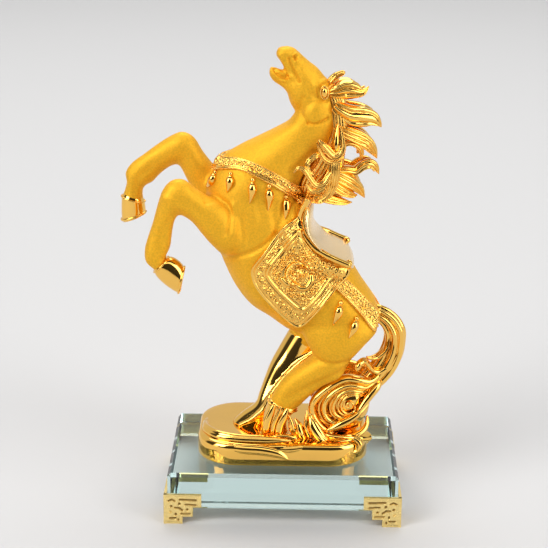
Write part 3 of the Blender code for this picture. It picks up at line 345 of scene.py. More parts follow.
HOOF_RIDGES = [
    [(-6.6, 37, -21, 1.2, 1.4), (-8.8, 31, -21.8, 2.4, 2), (-11, 24.6, -22.4, 2.7, 2.1),
     (-12.2, 17.6, -23, 2.6, 2), (-12.6, 13.4, -23, 1.6, 1.4)],
    [(2.6, 35, -21.4, 1.2, 1.4), (0.4, 29.6, -22.2, 2.4, 2.2), (-2.4, 23.6, -22.8, 2.6, 2.2),
     (-3.8, 17, -23.2, 2.6, 2.2), (-4.2, 13.4, -23.2, 1.6, 1.6)],
    [(-2, 36.4, -22, 0.8, 0.9), (-4, 30.4, -23, 1.3, 1.3), (-6.6, 24, -23.6, 1.4, 1.3),
     (-7.8, 17.4, -24.2, 1.3, 1.2), (-8.2, 13.4, -24.2, 0.8, 0.8)],
]
FAR_LEG_RIDGES = [
    [(20, 67, -0.6, 0.4, 0.5), (8, 57, -1, 1.5, 1.7), (-2, 46.4, -3.4, 1.7, 1.8), (-9.4, 36, -5.4, 1.7, 1.8),
     (-13.4, 28, -6.8, 1.9, 1.9), (-21, 21, -8.2, 1.6, 1.6), (-31, 15.6, -8.4, 0.4, 0.5)],
    [(-9.2, 31, -6, 1.2, 1.4), (-6.2, 27.4, -7, 1.9, 1.9), (-8, 23.6, -8, 1.7, 1.7),
     (-13, 19.6, -8.6, 0.5, 0.6)],
]


class HorseSizes(bpy.types.PropertyGroup):
    """Sizes of the horse's surface, in drawn units unless it says otherwise."""

    body_grain: FloatProperty(name="Body grain", description="Size of the body's faces", default=1.04)
    body_softening: IntProperty(name="Body softening", description="Smoothing of the joins", default=14)
    cloth_thickness: FloatProperty(name="Cloth", description="Thickness of the saddle cloth", default=1.5)
    strap_thickness: FloatProperty(name="Strap", description="Thickness of the straps", default=1.6)
    skirt_cord: FloatProperty(name="Skirt cord", description="Radius of the skirt's roll", default=2.1)
    bead_radius: FloatProperty(name="Bead", description="Radius of a strap's edge beads", default=0.42)
    bead_spacing: FloatProperty(name="Bead spacing", description="From bead to bead", default=1.05)
    groove_depth: FloatProperty(name="Groove", description="Depth of the hair's grooves, as a share",
                                default=0.5, subtype="FACTOR")


class PlinthSizes(bpy.types.PropertyGroup):
    """Sizes of the gold base, the glass and its feet, in metres."""

    base_length: FloatProperty(name="Base length", description="Along the plinth", default=0.1130,
                               unit="LENGTH")
    base_width: FloatProperty(name="Base width", description="Across the plinth", default=0.0740,
                              unit="LENGTH")
    base_corner: FloatProperty(name="Base corner", description="Radius of its corners", default=0.0260,
                               unit="LENGTH")
    foot_wall: FloatProperty(name="Foot wall", description="Thickness of a foot's plate", default=0.0020,
                             unit="LENGTH")
    shelf_top: FloatProperty(name="Shelf top", description="Height of a foot's shelf", default=0.0092,
                             unit="LENGTH")
    shelf_thickness: FloatProperty(name="Shelf", description="Thickness of a foot's shelf", default=0.0018,
                                   unit="LENGTH")


class HorseFinishes(bpy.types.PropertyGroup):
    """Colours and gloss of the object's finishes."""

    matte_gold: FloatVectorProperty(name="Matte gold", description="Sand-blasted gilding", subtype="COLOR",
                                    default=(0.88, 0.46, 0.022))
    bright_gold: FloatVectorProperty(name="Bright gold", description="Polished gilding", subtype="COLOR",
                                     default=(1.0, 0.585, 0.125))
    # The seat's colour is paler than its gilding: partly painted sheen of the light on its satin finish
    satin_gold_painted_sheen: FloatVectorProperty(name="Satin gold", description="The seat's satin gilding",
                                    subtype="COLOR", default=(1.0, 0.72, 0.36))
    brass: FloatVectorProperty(name="Brass", description="The feet's satin brass", subtype="COLOR",
                               default=(1.0, 0.76, 0.29))
    glass: FloatVectorProperty(name="Glass", description="Tint of the clear glass", subtype="COLOR",
                               default=(0.90, 0.985, 0.97))
    matte_roughness: FloatProperty(name="Matte roughness", description="Of the matte gold", default=0.52,
                                   subtype="FACTOR")
    bright_roughness: FloatProperty(name="Bright roughness", description="Of the polished gold",
                                    default=0.07, subtype="FACTOR")


class StudioSettings(bpy.types.PropertyGroup):
    """Light, floor and camera."""

    key_power: FloatProperty(name="Key light", description="Power in watts", default=64.0)
    fill_power: FloatProperty(name="Fill light", description="Power in watts", default=44.0)
    top_power: FloatProperty(name="Top light", description="Power in watts", default=56.0)
    sky_strength: FloatProperty(name="Sky", description="Strength of the surroundings", default=1.9)
    floor_colour: FloatVectorProperty(name="Floor", description="Colour of the floor", subtype="COLOR",
                                      default=(0.60, 0.595, 0.593))
    camera_distance: FloatProperty(name="Camera distance", description="From the object", default=0.9572,
                                   unit="LENGTH")
    camera_lens: FloatProperty(name="Lens", description="Focal length in millimetres", default=96.37)


# Curves and skins


def spline(rows, spans):
    """Rows along a smooth curve through the given ones, with this many spans between each two."""
    rows = np.array(rows, dtype=float)
    ends = np.vstack([2 * rows[0] - rows[1], rows, 2 * rows[-1] - rows[-2]])
    t = np.linspace(0, 1, spans, endpoint=False)[:, None]
    pieces = []
    for a, b, c, d in zip(ends, ends[1:], ends[2:], ends[3:]):
        cubic = 2 * a - 5 * b + 4 * c - d
        pieces.append(0.5 * (2 * b + (c - a) * t + cubic * t**2 + (3 * b - a - 3 * c + d) * t**3))
    return np.vstack(pieces + [rows[-1:]])


def grid_faces(rows, columns, closed):
    """Quads over a grid of points, whose columns may close into a ring."""
    faces = []
    for i in range(rows - 1):
        for j in range(columns if closed else columns - 1):
            k = (j + 1) % columns
            faces.append((i * columns + j, i * columns + k, (i + 1) * columns + k, (i + 1) * columns + j))
    return faces


def loft(rings):
    """A closed skin over a row of rings, each end closed by a fan about its middle."""
    rings = np.asarray(rings, dtype=float)
    rows, sides = rings.shape[:2]
    faces = grid_faces(rows, sides, True)
    points = np.vstack([rings.reshape(-1, 3), rings[0].mean(axis=0), rings[-1].mean(axis=0)])
    first, last = rows * sides, rows * sides + 1
    for j in range(sides):
        k = (j + 1) % sides
        faces.append((k, j, first))
        faces.append(((rows - 1) * sides + j, (rows - 1) * sides + k, last))
    return outward(points, faces)


def outward(points, faces):
    """The skin with its faces turned to point out."""
    triangles = np.array([(face[0], *face[i:i + 2]) for face in faces for i in range(1, len(face) - 1)])
    a, b, c = (points[triangles[:, i]] for i in range(3))
    if np.sum(a * np.cross(b, c)) < 0:
        faces = [face[::-1] for face in faces]
    return points, faces


def ring_about(centre, across, through, shares):
    """A ring of points about a centre, from shares along two axes."""
    return centre + shares[:, :1] * across + shares[:, 1:] * through


def circle_shares(sides, radius=None):
    """Cosine and sine around a circle, each times its radius there."""
    angle = np.linspace(0, 2 * math.pi, sides, endpoint=False)
    shares = np.stack([np.cos(angle), np.sin(angle)], axis=1)
    return shares if radius is None else shares * radius[:, None]


def limb(rows, spans=9, sides=56):
    """A limb given by the two edges that its side view shows, and its half thickness."""
    rings = []
    for x1, z1, x2, z2, half, y in spline(rows, spans):
        centre = np.array([(x1 + x2) / 2, y, (z1 + z2) / 2])
        across = np.array([(x2 - x1) / 2, 0.0, (z2 - z1) / 2])
        rings.append(ring_about(centre, across, np.array([0, half, 0]), circle_shares(sides)))
    return loft(rings)


def full_turn(steps=48):
    """Angles once round, the last one back at the start."""
    return [2 * math.pi * i / steps for i in range(steps + 1)]


def hoof_ring(row, radius, proud):
    """A raised ring about a hoof at one of its rows."""
    x1, z1, x2, z2, half, y = row
    centre = np.array([(x1 + x2) / 2, (z1 + z2) / 2])
    across = np.array([(x2 - x1) / 2, (z2 - z1) / 2])
    across *= 1 + proud / np.linalg.norm(across)
    rows = []
    for angle in full_turn():
        x, z = centre + across * math.cos(angle)
        rows.append((x, z, y + (half + proud) * math.sin(angle), radius, radius))
    return strand(rows, spans=1, sides=12)


def centred(rows, scale=1.0):
    """Rows without a y put on the middle plane, with their half thickness times the scale."""
    return [(*row[:4], row[4] * scale, 0.0) for row in rows]


def ridged(sides, lobes, depth, turn):
    """A ring's radius with rounded ridges and sharp grooves."""
    angle = np.linspace(0, 2 * math.pi, sides, endpoint=False)
    ridge = np.abs(np.cos(lobes * angle / 2 + turn)) ** 0.7
    return 1 - depth * (1 - ridge)


def steps_along(rows, spans):
    """Each point of a path, with its half width and half thickness as the ways across and through it."""
    rows = spline(rows, spans)
    path = rows[:, [0, 2, 1]]
    heading = np.gradient(path, axis=0)
    heading /= np.linalg.norm(heading, axis=1)[:, None]
    steps = []
    for point, ahead, (wide, thick) in zip(path, heading, rows[:, 3:5]):
        across = np.array([-ahead[2], 0.0, ahead[0]])
        across /= max(np.linalg.norm(across), 1e-6)
        steps.append((point, across * wide, np.cross(ahead, across) * thick))
    return steps


def strand(rows, spans=10, sides=40, lobes=0, depth=0.0, twist=0.0, turn=0.0):
    """A strand along a path, round or with lobes that twist about it."""
    steps = steps_along(rows, spans)
    rings = []
    for i, step in enumerate(steps):
        radius = ridged(sides, lobes, depth, turn + twist * i / (len(steps) - 1)) if lobes else None
        rings.append(ring_about(*step, circle_shares(sides, radius)))
    return loft(rings)


def ball(x, z, y, rx, rz, ry, steps=32):
    """A ball stretched to three half sizes."""
    rings = []
    for latitude in np.linspace(-math.pi / 2, math.pi / 2, steps)[1:-1]:
        ring = circle_shares(2 * steps) * math.cos(latitude)
        level = np.full(2 * steps, math.sin(latitude))
        rings.append(np.stack([x + rx * ring[:, 0], y + ry * ring[:, 1], z + rz * level], axis=1))
    return loft(rings)


def joined(skins):
    """Several skins as one set of points and faces."""
    points, faces, count = [], [], 0
    for skin_points, skin_faces in skins:
        points.append(skin_points)
        faces += [tuple(i + count for i in face) for face in skin_faces]
        count += len(skin_points)
    return np.vstack(points), faces


# Objects


def placed(points):
    """Drawn points in the frame's metres."""
    return np.asarray(points) * UNIT + (MIDDLE_X, 0.0, BASE_TOP - DRAWN_BASE_TOP * UNIT)


def mesh_of(name, skins):
    """One mesh, in drawn units, of several skins."""
    points, faces = joined(skins)
    mesh = bpy.data.meshes.new(name)
    mesh.from_pydata(points.tolist(), [], faces)
    mesh.update()
    return mesh


def linked(name, mesh):
    """An object in the scene that shows the mesh."""
    thing = bpy.data.objects.new(name, mesh)
    bpy.context.collection.objects.link(thing)
    return thing


def settled(thing):
    """The object's mesh as its modifiers leave it, with the object removed."""
    graph = bpy.context.evaluated_depsgraph_get()
    mesh = bpy.data.meshes.new_from_object(thing.evaluated_get(graph))
    bpy.data.objects.remove(thing)
    return mesh


def fused(skins, grain, softening):
    """Overlapping skins made one smooth surface, as points and faces."""
    thing = linked("fusing", mesh_of("fusing", skins))
    remesh = thing.modifiers.new("Remesh", "REMESH")
    remesh.mode = "VOXEL"
    remesh.voxel_size = grain
    smooth = thing.modifiers.new("Smooth", "SMOOTH")
    smooth.factor = 0.5
    smooth.iterations = softening
    mesh = settled(thing)
    points = np.empty(len(mesh.vertices) * 3)
    mesh.vertices.foreach_get("co", points)
    faces = [tuple(polygon.vertices) for polygon in mesh.polygons]
    bpy.data.meshes.remove(mesh)
    return points.reshape(-1, 3), faces


def point_normals(points, faces):
    """The normal at each point of a skin."""
    mesh = bpy.data.meshes.new("normals")
    mesh.from_pydata(points.tolist(), [], faces)
    normals = np.empty(len(points) * 3)
    mesh.vertex_normals.foreach_get("vector", normals)
    bpy.data.meshes.remove(mesh)
    return normals.reshape(-1, 3)


def finish_piece(name, skins, material):
    """The skins as a finished piece in the frame, riding on the body in place of the figure."""
    mesh = mesh_of(name, skins)
    points = np.empty(len(mesh.vertices) * 3)
    mesh.vertices.foreach_get("co", points)
    mesh.vertices.foreach_set("co", placed(points.reshape(-1, 3)).ravel())
    mesh.shade_smooth()
    mesh.update()
    return declare(linked(name, mesh), material, "horse_figure")


def declare(thing, material, node):
    """Gives a finished object its material, puts it on the body and hides the part it replaces."""
    thing.data.materials.clear()
    thing.data.materials.append(material)
    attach(thing, BODY)
    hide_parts(node)
    return thing


# Materials


def new_material(name):
    """A node material, its nodes and its shader."""
    material = bpy.data.materials.new(name)
    material.use_nodes = True
    nodes = material.node_tree.nodes
    return material, nodes, material.node_tree.links, nodes["Principled BSDF"]


def noise(nodes, links, scale, detail=2.0):
    """Noise on the object's own coordinates."""
    coordinates = nodes.new("ShaderNodeTexCoord")
    texture = nodes.new("ShaderNodeTexNoise")
    texture.inputs["Scale"].default_value = scale
    texture.inputs["Detail"].default_value = detail
    links.new(coordinates.outputs["Object"], texture.inputs["Vector"])
    return texture


def spread(nodes, links, texture, low, high):
    """The noise spread over a range of values, as a socket."""
    node = nodes.new("ShaderNodeMapRange")
    for name, value in (("From Min", 0.3), ("From Max", 0.7), ("To Min", low), ("To Max", high)):
        node.inputs[name].default_value = value
    links.new(texture.outputs["Fac"], node.inputs["Value"])
    return node.outputs["Result"]


def metal(name, colour, metallic, shades, roughness, bump=None):
    """A metal finish, whose shade, gloss and grain follow noise on the object.

    Shades are the noise's scale and detail and two shares of the colour, roughness the scale, detail and
    two values, or one plain value, and a bump the scale, detail, strength and distance.
    """
    material, nodes, links, shader = new_material(name)
    shader.inputs["Metallic"].default_value = metallic
    ramp = nodes.new("ShaderNodeValToRGB")
    for stop, place, share in zip(ramp.color_ramp.elements, (0.35, 0.65), shades[2:]):
        stop.position = place
        stop.color = (*np.minimum(np.array(colour) * share, 1), 1)
    links.new(noise(nodes, links, *shades[:2]).outputs["Fac"], ramp.inputs["Fac"])
    links.new(ramp.outputs["Color"], shader.inputs["Base Color"])
    if isinstance(roughness, tuple):
        texture = noise(nodes, links, *roughness[:2])
        links.new(spread(nodes, links, texture, *roughness[2:]), shader.inputs["Roughness"])
    else:
        shader.inputs["Roughness"].default_value = roughness
    if bump:
        node = nodes.new("ShaderNodeBump")
        node.inputs["Strength"].default_value, node.inputs["Distance"].default_value = bump[2:]
        links.new(noise(nodes, links, *bump[:2]).outputs["Fac"], node.inputs["Height"])
        links.new(node.outputs["Normal"], shader.inputs["Normal"])
    return material


def matte_gold():
    """Gold with the fine grain of a sand-blasted casting."""
    finishes = bpy.context.scene.horse_finishes
    low, high = finishes.matte_roughness - 0.05, finishes.matte_roughness + 0.05
    material = metal("matte_gold", finishes.matte_gold, 0.55, (900.0, 4.0, 0.90, 1.08),
                     (300.0, 2.0, low, high), (2400.0, 3.0, 0.5, 0.0003))
    material.node_tree.nodes["Principled BSDF"].inputs["Specular IOR Level"].default_value = 0.25
    return material


def bright_gold(name, roughness=None):
    """Polished gold, with the faint unevenness of plating over a casting."""
    finishes = bpy.context.scene.horse_finishes
    roughness = finishes.bright_roughness if roughness is None else roughness
    return metal(name, finishes.bright_gold, 1.0, (60.0, 2.0, 0.97, 1.0),
                 (140.0, 2.0, roughness * 0.7, roughness * 1.4))


def satin_gold_painted_sheen():
    """The seat's satin gold: real satin gloss, with a paler colour that paints its whitish sheen."""
    colour = bpy.context.scene.horse_finishes.satin_gold_painted_sheen
    return metal("satin_gold_painted_sheen", colour, 0.8, (300.0, 3.0, 0.96, 1.0), (500.0, 2.0, 0.20, 0.27))


def satin_brass():
    """Stamped brass with a fine brushed grain."""
    colour = bpy.context.scene.horse_finishes.brass
    return metal("satin_brass", colour, 0.6, (400.0, 4.0, 0.86, 1.0), (700.0, 4.0, 0.16, 0.28),
                 (2200.0, 2.0, 0.06, 0.0001))


def painted_shade_brass():
    """Dark brass whose colour paints the shade in the bottom of the fret."""
    # The brass darkened to paint shade into the fret's slots
    colour = np.array(bpy.context.scene.horse_finishes.brass) * (0.30, 0.24, 0.16)
    return metal("painted_shade_brass", colour, 0.5, (500.0, 2.0, 0.8, 1.0), 0.55)


GLASS_DEPTH_TINT = (0.55, 0.93, 0.90, 1)
GLASS_DENSITY = 3.6


def clear_glass():
    """Clear glass with a faint sea-green tint that deepens along its edges."""
    finishes = bpy.context.scene.horse_finishes
    material, nodes, links, shader = new_material("clear_glass")
    shader.inputs["Base Color"].default_value = (*finishes.glass, 1)
    shader.inputs["Metallic"].default_value = 0.0
    shader.inputs["Transmission Weight"].default_value = 1.0
    shader.inputs["IOR"].default_value = 1.5
    links.new(spread(nodes, links, noise(nodes, links, 8.0), 0.0, 0.004), shader.inputs["Roughness"])
    depth = nodes.new("ShaderNodeVolumeAbsorption")
    depth.inputs["Color"].default_value = GLASS_DEPTH_TINT
    depth.inputs["Density"].default_value = GLASS_DENSITY
    links.new(depth.outputs["Volume"], nodes["Material Output"].inputs["Volume"])
    return material


# The horse's body


def surface_of(skin):
    """A tree that finds places on a skin."""
    points, faces = skin
    return BVHTree.FromPolygons(points.tolist(), faces)


def flank_at(tree, x, z, side):
    """The place on the body's flank that the side view shows at x and z, or None past its edge."""
    return tree.ray_cast(Vector((x, side * BESIDE, z)), Vector((0, -side, 0)))[0]


def depth_at(tree, x, z, side, beyond=TORSO_HALF_WIDTH / 2):
    """The y of the body's surface at a place in the side view, or that of the nearest place on it."""
    hit = flank_at(tree, x, z, side)
    if hit is None:
        hit = tree.find_nearest(Vector((x, side * beyond, z)))[0]
    return hit.y


def distance_to_line(places, line):
    """How far each place in the side view is from a drawn line."""
    line = np.asarray(line, dtype=float)
    best = np.full(len(places), np.inf)
    for a, b in zip(line, line[1:]):
        along = b - a
        share = np.clip(((places - a) @ along) / max(along @ along, 1e-9), 0, 1)
        best = np.minimum(best, np.linalg.norm(places - a - share[:, None] * along, axis=1))
    return best


# Strokes cut (below 0) or raised (above 0) on the body: line, half width, height, sides
BODY_STROKES = [
    # Nostril, its rim, the groove behind the lips, the lips and the corner of the mouth
    ([(3.9, 263.6), (4.4, 262.8)], 1.15, -1.9, BOTH),
    ([(2.6, 264.6), (4.6, 265.4), (6.6, 264.2), (6.5, 261.9), (4.6, 260.9)], 0.85, 0.85, BOTH),
    ([(0.2, 262.6), (1.0, 259.3), (2.8, 255.8), (4.5, 252.7), (6.9, 249.2)], 0.95, -1.5, BOTH),
    ([(-5.4, 264.6), (-3.2, 260.6), (-1.4, 257), (-0.2, 253.6), (1.4, 250.9)], 1.0, 0.9, BOTH),
    ([(-1.9, 264.4), (-1.7, 264.1)], 0.6, -0.5, BOTH),
    ([(1.2, 250.8), (1.9, 250.3)], 1.5, 1.0, BOTH),
    ([(-8.6, 255.4), (-6.4, 252.8), (-3.4, 251.2), (0, 251.2)], 1.15, -1.9, BOTH),
    ([(-10.6, 254.8), (-8.2, 251.6), (-5.2, 249.4), (-1.6, 248.6)], 1.2, 0.8, BOTH),
    ([(-6.6, 250), (-4.4, 247.6), (-1.6, 246.8)], 0.7, -0.4, BOTH),
    # Cheek, temple, brow and the veins of the face
    ([(9.4, 238.5), (8.2, 234), (8.8, 228.4), (12.4, 224)], 1.6, -0.8, BOTH),
    ([(12.4, 223.6), (16, 222.7), (20, 223.4), (25, 225.8)], 1.0, -1.5, BOTH),
    ([(18.2, 246.2), (20.2, 248.4), (23.2, 248.8)], 1.3, 1.1, BOTH),
    ([(18.9, 246.4), (18.4, 243), (19.2, 239.6)], 0.8, -0.8, BOTH),
    ([(15.5, 240.6), (18.6, 238.4), (23.6, 237.6)], 2.0, -1.0, BOTH),
    ([(8, 256), (12, 251), (15, 246.4)], 1.8, 0.5, BOTH),
    ([(10.6, 249), (12.4, 243.6), (12.6, 239)], 1.6, -0.5, BOTH),
    # Throat and neck
    ([(3, 232), (8.5, 225.6), (14, 219)], 2.0, -0.4, BOTH),
    ([(-34, 204), (-16, 207.5), (0, 214), (14, 224)], 4.5, -0.5, BOTH),
    # Shoulder, elbow and ribs
    ([(-50.3, 174.8), (-42.5, 175), (-37, 171.9), (-35, 166.4), (-35.5, 160), (-36.7, 155)], 1.5, -1.5,
     (NEAR,)),
    ([(-33.6, 172), (-32.4, 164), (-33.2, 155)], 1.8, 1.0, (NEAR,)),
    ([(-40.6, 133.8), (-31.2, 138.1), (-20.4, 143.1), (-12.2, 149), (-6, 155.3)], 1.7, -1.5, BOTH),
    ([(-27.4, 165), (-27.6, 158), (-26.8, 151.6)], 2.2, -0.9, BOTH),
    ([(-21.6, 173), (-20.8, 168), (-19, 162)], 1.9, 0.8, BOTH),
    ([(-17.4, 172.6), (-15.8, 166)], 1.2, -0.5, BOTH),
    ([(-14.8, 174), (-13.4, 170), (-11.6, 166.6)], 1.3, 0.6, BOTH),
    ([(-7.5, 174), (-8.2, 166), (-6.4, 159.4)], 2.0, -0.6, BOTH),
    # Thigh, stifle and the tendons of the legs
    ([(47, 68), (40, 68.6), (30, 68.4), (19, 70.4)], 1.5, -1.3, (NEAR,)),
    ([(42, 63.6), (28, 57.4), (14, 49.6), (2, 41.6)], 2.4, -0.8, (NEAR,)),
    ([(38, 58.6), (24, 52), (10, 41)], 2.0, 0.6, (NEAR,)),
    ([(-72, 166), (-76, 158), (-79.5, 148)], 1.8, -0.7, BOTH),
    ([(-66, 171), (-72, 176), (-77, 177.5)], 2.6, 0.8, (NEAR,)),
    ([(-88, 188), (-96, 181), (-99, 172)], 1.8, -0.6, BOTH),
]
SWELLS = [
    ((16.6, 231.4), (7.4, 7.4), 1.2, BOTH),
    ((-33, 150), (10, 11), 0.9, BOTH),
    ((-20, 184), (14, 10), 0.6, BOTH),
    ((36, 96), (15, 15), 0.8, BOTH),
    ((30, 76), (10, 7), 0.5, (NEAR,)),
    ((-45, 160), (8, 10), 0.7, (NEAR,)),
]
HEAD_LOW = 219.0


def divided(skin, low, softening):
    """The skin with its faces above a height cut in four, to be carved more finely there."""
    points, faces = skin
    mesh = bmesh.new()
    corners = [mesh.verts.new(point) for point in points]
    for face in faces:
        mesh.faces.new([corners[i] for i in face])
    edges = [edge for edge in mesh.edges if min(corner.co.z for corner in edge.verts) > low]
    bmesh.ops.subdivide_edges(mesh, edges=edges, cuts=1, use_grid_fill=True)
    high = [corner for corner in mesh.verts if corner.co.z > low]
    for _ in range(softening):
        bmesh.ops.smooth_vert(mesh, verts=high, factor=0.5, use_axis_x=True, use_axis_y=True,
                              use_axis_z=True)
    mesh.verts.index_update()
    points = np.array([corner.co[:] for corner in mesh.verts])
    faces = [tuple(corner.index for corner in face.verts) for face in mesh.faces]
    mesh.free()
    return points, faces


def carved(skin):
    """The body with its creases, nostrils, brows and muscles."""
    points, faces = skin
    normals = point_normals(points, faces)
    places = points[:, [0, 2]]
    height = np.zeros(len(points))
    for line, half, rise, sides in BODY_STROKES:
        away = distance_to_line(places, spline(line, 6))
        shape = np.exp(-(away / half) ** 2)
        for side in sides:
            height += rise * shape * np.clip(normals[:, 1] * side * 1.6, 0, 1)
    for centre, half, rise, sides in SWELLS:
        away = np.linalg.norm((places - centre) / half, axis=1)
        shape = np.exp(-away**2)
        for side in sides:
            height += rise * shape * np.clip(normals[:, 1] * side * 1.4, 0, 1)
    return points + normals * height[:, None], faces


def body_skin():
    """The horse's own body with the pad under its saddle, down to its hooves."""
    sizes = bpy.context.scene.horse_sizes
    limbs = [
        limb(centred(TORSO, TORSO_HALF_WIDTH), sides=80),
        limb(centred(SADDLE_PAD), sides=80),
        limb(centred(HEAD)),
        limb(centred(LOWER_JAW)),
        limb(FAR_FORELEG),
        limb(NEAR_FORELEG),
        limb(NEAR_HIND_LEG),
        limb(FAR_HIP),
    ]
    return carved(divided(fused(limbs, sizes.body_grain, sizes.body_softening), HEAD_LOW, 3))


# The body's skin and its tree, once they have been worked out
_BODY = {}


def cached_body():
    """The body's skin and its tree, worked out once."""
    if "skin" not in _BODY:
        _BODY["skin"] = body_skin()
        _BODY["tree"] = surface_of(_BODY["skin"])
    return _BODY["skin"], _BODY["tree"]


# Hair, tail and waves


def leaf(rows, grooves, depth, spans=12, columns=36):
    """A broad lock: a crowned leaf with rounded ridges that run together at its tip."""
    steps = steps_along(rows, spans)
    angle = np.linspace(0, 2 * math.pi, 2 * columns, endpoint=False)
    across, crown = np.cos(angle), np.sin(angle)
    rings = []
    for i, step in enumerate(steps):
        drift = 0.5 * math.sin(2.2 * i / len(steps) * math.pi)
        ridge = np.abs(np.cos(0.5 * math.pi * grooves * (across + 0.12 * drift)))
        level = np.sign(crown) * np.abs(crown) ** 0.8 * (1 - depth * (1 - ridge**0.6))
        rings.append(ring_about(*step, np.stack([across, level], axis=1)))
    return loft(rings)


def fluted_locks(side):
    """The mane's locks on one side, each with its own ridges."""
    depth = bpy.context.scene.horse_sizes.groove_depth
    skins = []
    for lock, grooves in zip(MANE_LOCKS, LOCK_GROOVES):
        rows = np.array(lock, dtype=float)
        if side == FAR:
            root = rows[0, :2].copy()
            rows[:, :2] = root + (rows[:, :2] - root) * FAR_SIDE_SHRINK
            rows[:, 2] *= -1
        skins.append(leaf(rows, grooves, depth))
    return skins


def mane_core():
    """The hair close to the neck, with many fine flutes."""
    return strand(MANE_CORE, spans=12, sides=160, lobes=22, depth=0.10, twist=0.9)


def scroll_skins():
    """The scroll's ridges on both sides, its leaves and the lens that carries them."""
    skins = [ball(*SCROLL_LENS)]
    lines = [spline(line, 8) for line in SCROLL_LINES]
    turn = np.linspace(0, 1.6 * math.pi, 24)
    reach = np.linspace(3.2, 0.7, 24)
    curl = np.stack([reach * np.cos(turn), reach * np.sin(turn), -0.03 * turn], axis=1)
    eye = np.array([SCROLL_EYE]) + curl
    for side in BOTH:
        ridges_here = []
        for number, ridges in enumerate(SCROLL_RIDGES):
            for share, half in ridges:
                line = lines[number]
                if share:
                    line = line + (lines[number + 1] - line) * share
                ridges_here.append(ridge_rows(line, half))
        ridges_here.append(ridge_rows(eye, 1.0))
        ridges_here += [spline(blade, 8) for blade in SCROLL_LEAVES]
        for rows in ridges_here:
            if side == FAR:
                rows = rows * (1, 1, -FAR_SCROLL_SHARE, FAR_SCROLL_SHARE, FAR_SCROLL_SHARE)
            skins.append(strand(rows, spans=1, sides=22, lobes=2, depth=0.12, turn=0.8))
    return skins


def ridge_rows(line, half):
    """Rows of a ridge that swells in the middle of its line and thins towards both ends."""
    share = np.linspace(0, 1, len(line))
    girth = half * (0.55 + 0.45 * np.sin(math.pi * share**0.8))
    return np.column_stack([line, girth, girth * 1.45])


def wave_skins():
    """The waves about the hooves and the base's rolled rim."""
    skins = []
    for number, wave in enumerate(WAVES):
        skins.append(strand(wave, spans=14, sides=48, lobes=3, depth=0.24, twist=0.9, turn=0.6 * number))
    skins += [strand(blade, spans=12, sides=48, lobes=3, depth=0.14, turn=0.4) for blade in RIM]
    return skins


# Tack


# Rounds of easing that carry a cord over the dips under it
DIP_ROUNDS = 500


def cord_line(tree, line, side, lift, spans=8):
    """Rows of a cord that follows a line drawn on the flank, bridges its dips and stands this far off."""
    places = spline(line, spans)
    depths = np.array([depth_at(tree, x, z, side, TORSO_HALF_WIDTH) for x, z in places])
    for _ in range(DIP_ROUNDS):
        eased = depths.copy()
        eased[1:-1] = 0.5 * depths[1:-1] + 0.25 * (depths[2:] + depths[:-2])
        eased[0], eased[-1] = depths[1], depths[-2]
        depths = side * np.maximum(side * depths, side * eased)
    return np.column_stack([places, depths + side * lift])


def cord_on(tree, line, side, radius, lift, sides=14):
    """A raised cord on the flank."""
    rows = [(x, z, y, radius, radius) for x, z, y in cord_line(tree, line, side, lift)]
    return strand(rows, spans=1, sides=sides)


def edge_reach(outline, centre, angles):
    """How far a closed outline is from its middle in each direction."""
    outline = np.asarray(outline)
    closed = np.vstack([outline, outline[:1]])
    reach = np.zeros(len(angles))
    for number, angle in enumerate(angles):
        ahead = np.array([math.cos(angle), math.sin(angle)])
        side = np.array([-ahead[1], ahead[0]])
        offsets = (closed - centre) @ side
        along = (closed - centre) @ ahead
        for i in range(len(outline)):
            a, b = offsets[i], offsets[i + 1]
            if (a <= 0 < b) or (b <= 0 < a):
                share = a / (a - b)
                reach[number] = max(reach[number], along[i] + share * (along[i + 1] - along[i]))
    return reach


def smooth_grid(grid, rounds, closed):
    """A grid of points with its surface noise smoothed away, its edges kept."""
    for _ in range(rounds):
        if closed:
            beside = (np.roll(grid, 1, axis=1) + np.roll(grid, -1, axis=1)) / 2
        else:
            beside = grid.copy()
            beside[:, 1:-1] = (grid[:, 2:] + grid[:, :-2]) / 2
        above = grid.copy()
        above[1:-1] = (grid[2:] + grid[:-2]) / 2
        grid = 0.5 * grid + 0.25 * (beside + above)
    return grid


def grid_normals(grid, closed):
    """The normal at each point of a grid."""
    down = np.gradient(grid, axis=0)
    if closed:
        along = (np.roll(grid, -1, axis=1) - np.roll(grid, 1, axis=1)) / 2
    else:
        along = np.gradient(grid, axis=1)
    normals = np.cross(down, along)
    length = np.linalg.norm(normals, axis=2, keepdims=True)
    return normals / np.maximum(length, 1e-9)


def raised(distance, centre, half, height):
    """A rounded cord's height at each distance from a line."""
    return height * np.sqrt(np.clip(1 - ((distance - centre) / half) ** 2, 0, 1))


def curls(places, spacing, radius, pitch, seed):
    """Small spiral clouds packed over a cloth or strap, as a height from 0 to 1."""
    random = np.random.default_rng(seed)
    low, high = places.min(axis=0), places.max(axis=0)
    seeds = []
    stray = 0.18
    row = 0
    z = low[1]
    while z < high[1] + spacing:
        x = low[0] + (row % 2) * spacing / 2
        while x < high[0] + spacing:
            aside, up = random.uniform(-stray, stray), random.uniform(-stray, stray)
            seeds.append((x + aside * spacing, z + up * spacing))
            x += spacing
        z += spacing * 0.866
        row += 1
    seeds = np.array(seeds)
    spins = random.choice([-1.0, 1.0], len(seeds))
    turns = random.uniform(0, 2 * math.pi, len(seeds))
    best = np.full(len(places), np.inf)
    nearest = np.zeros(len(places), dtype=int)
    for number, seed_place in enumerate(seeds):
        away = np.linalg.norm(places - seed_place, axis=1)
        closer = away < best
        best[closer] = away[closer]
        nearest[closer] = number
    offset = places - seeds[nearest]
    angle = np.arctan2(offset[:, 1], offset[:, 0]) * spins[nearest] + turns[nearest]
    wave = 0.5 + 0.5 * np.cos(2 * math.pi * best / pitch - angle)
    fade = np.clip((radius - best) / (0.35 * radius), 0, 1)
    return wave**0.8 * fade


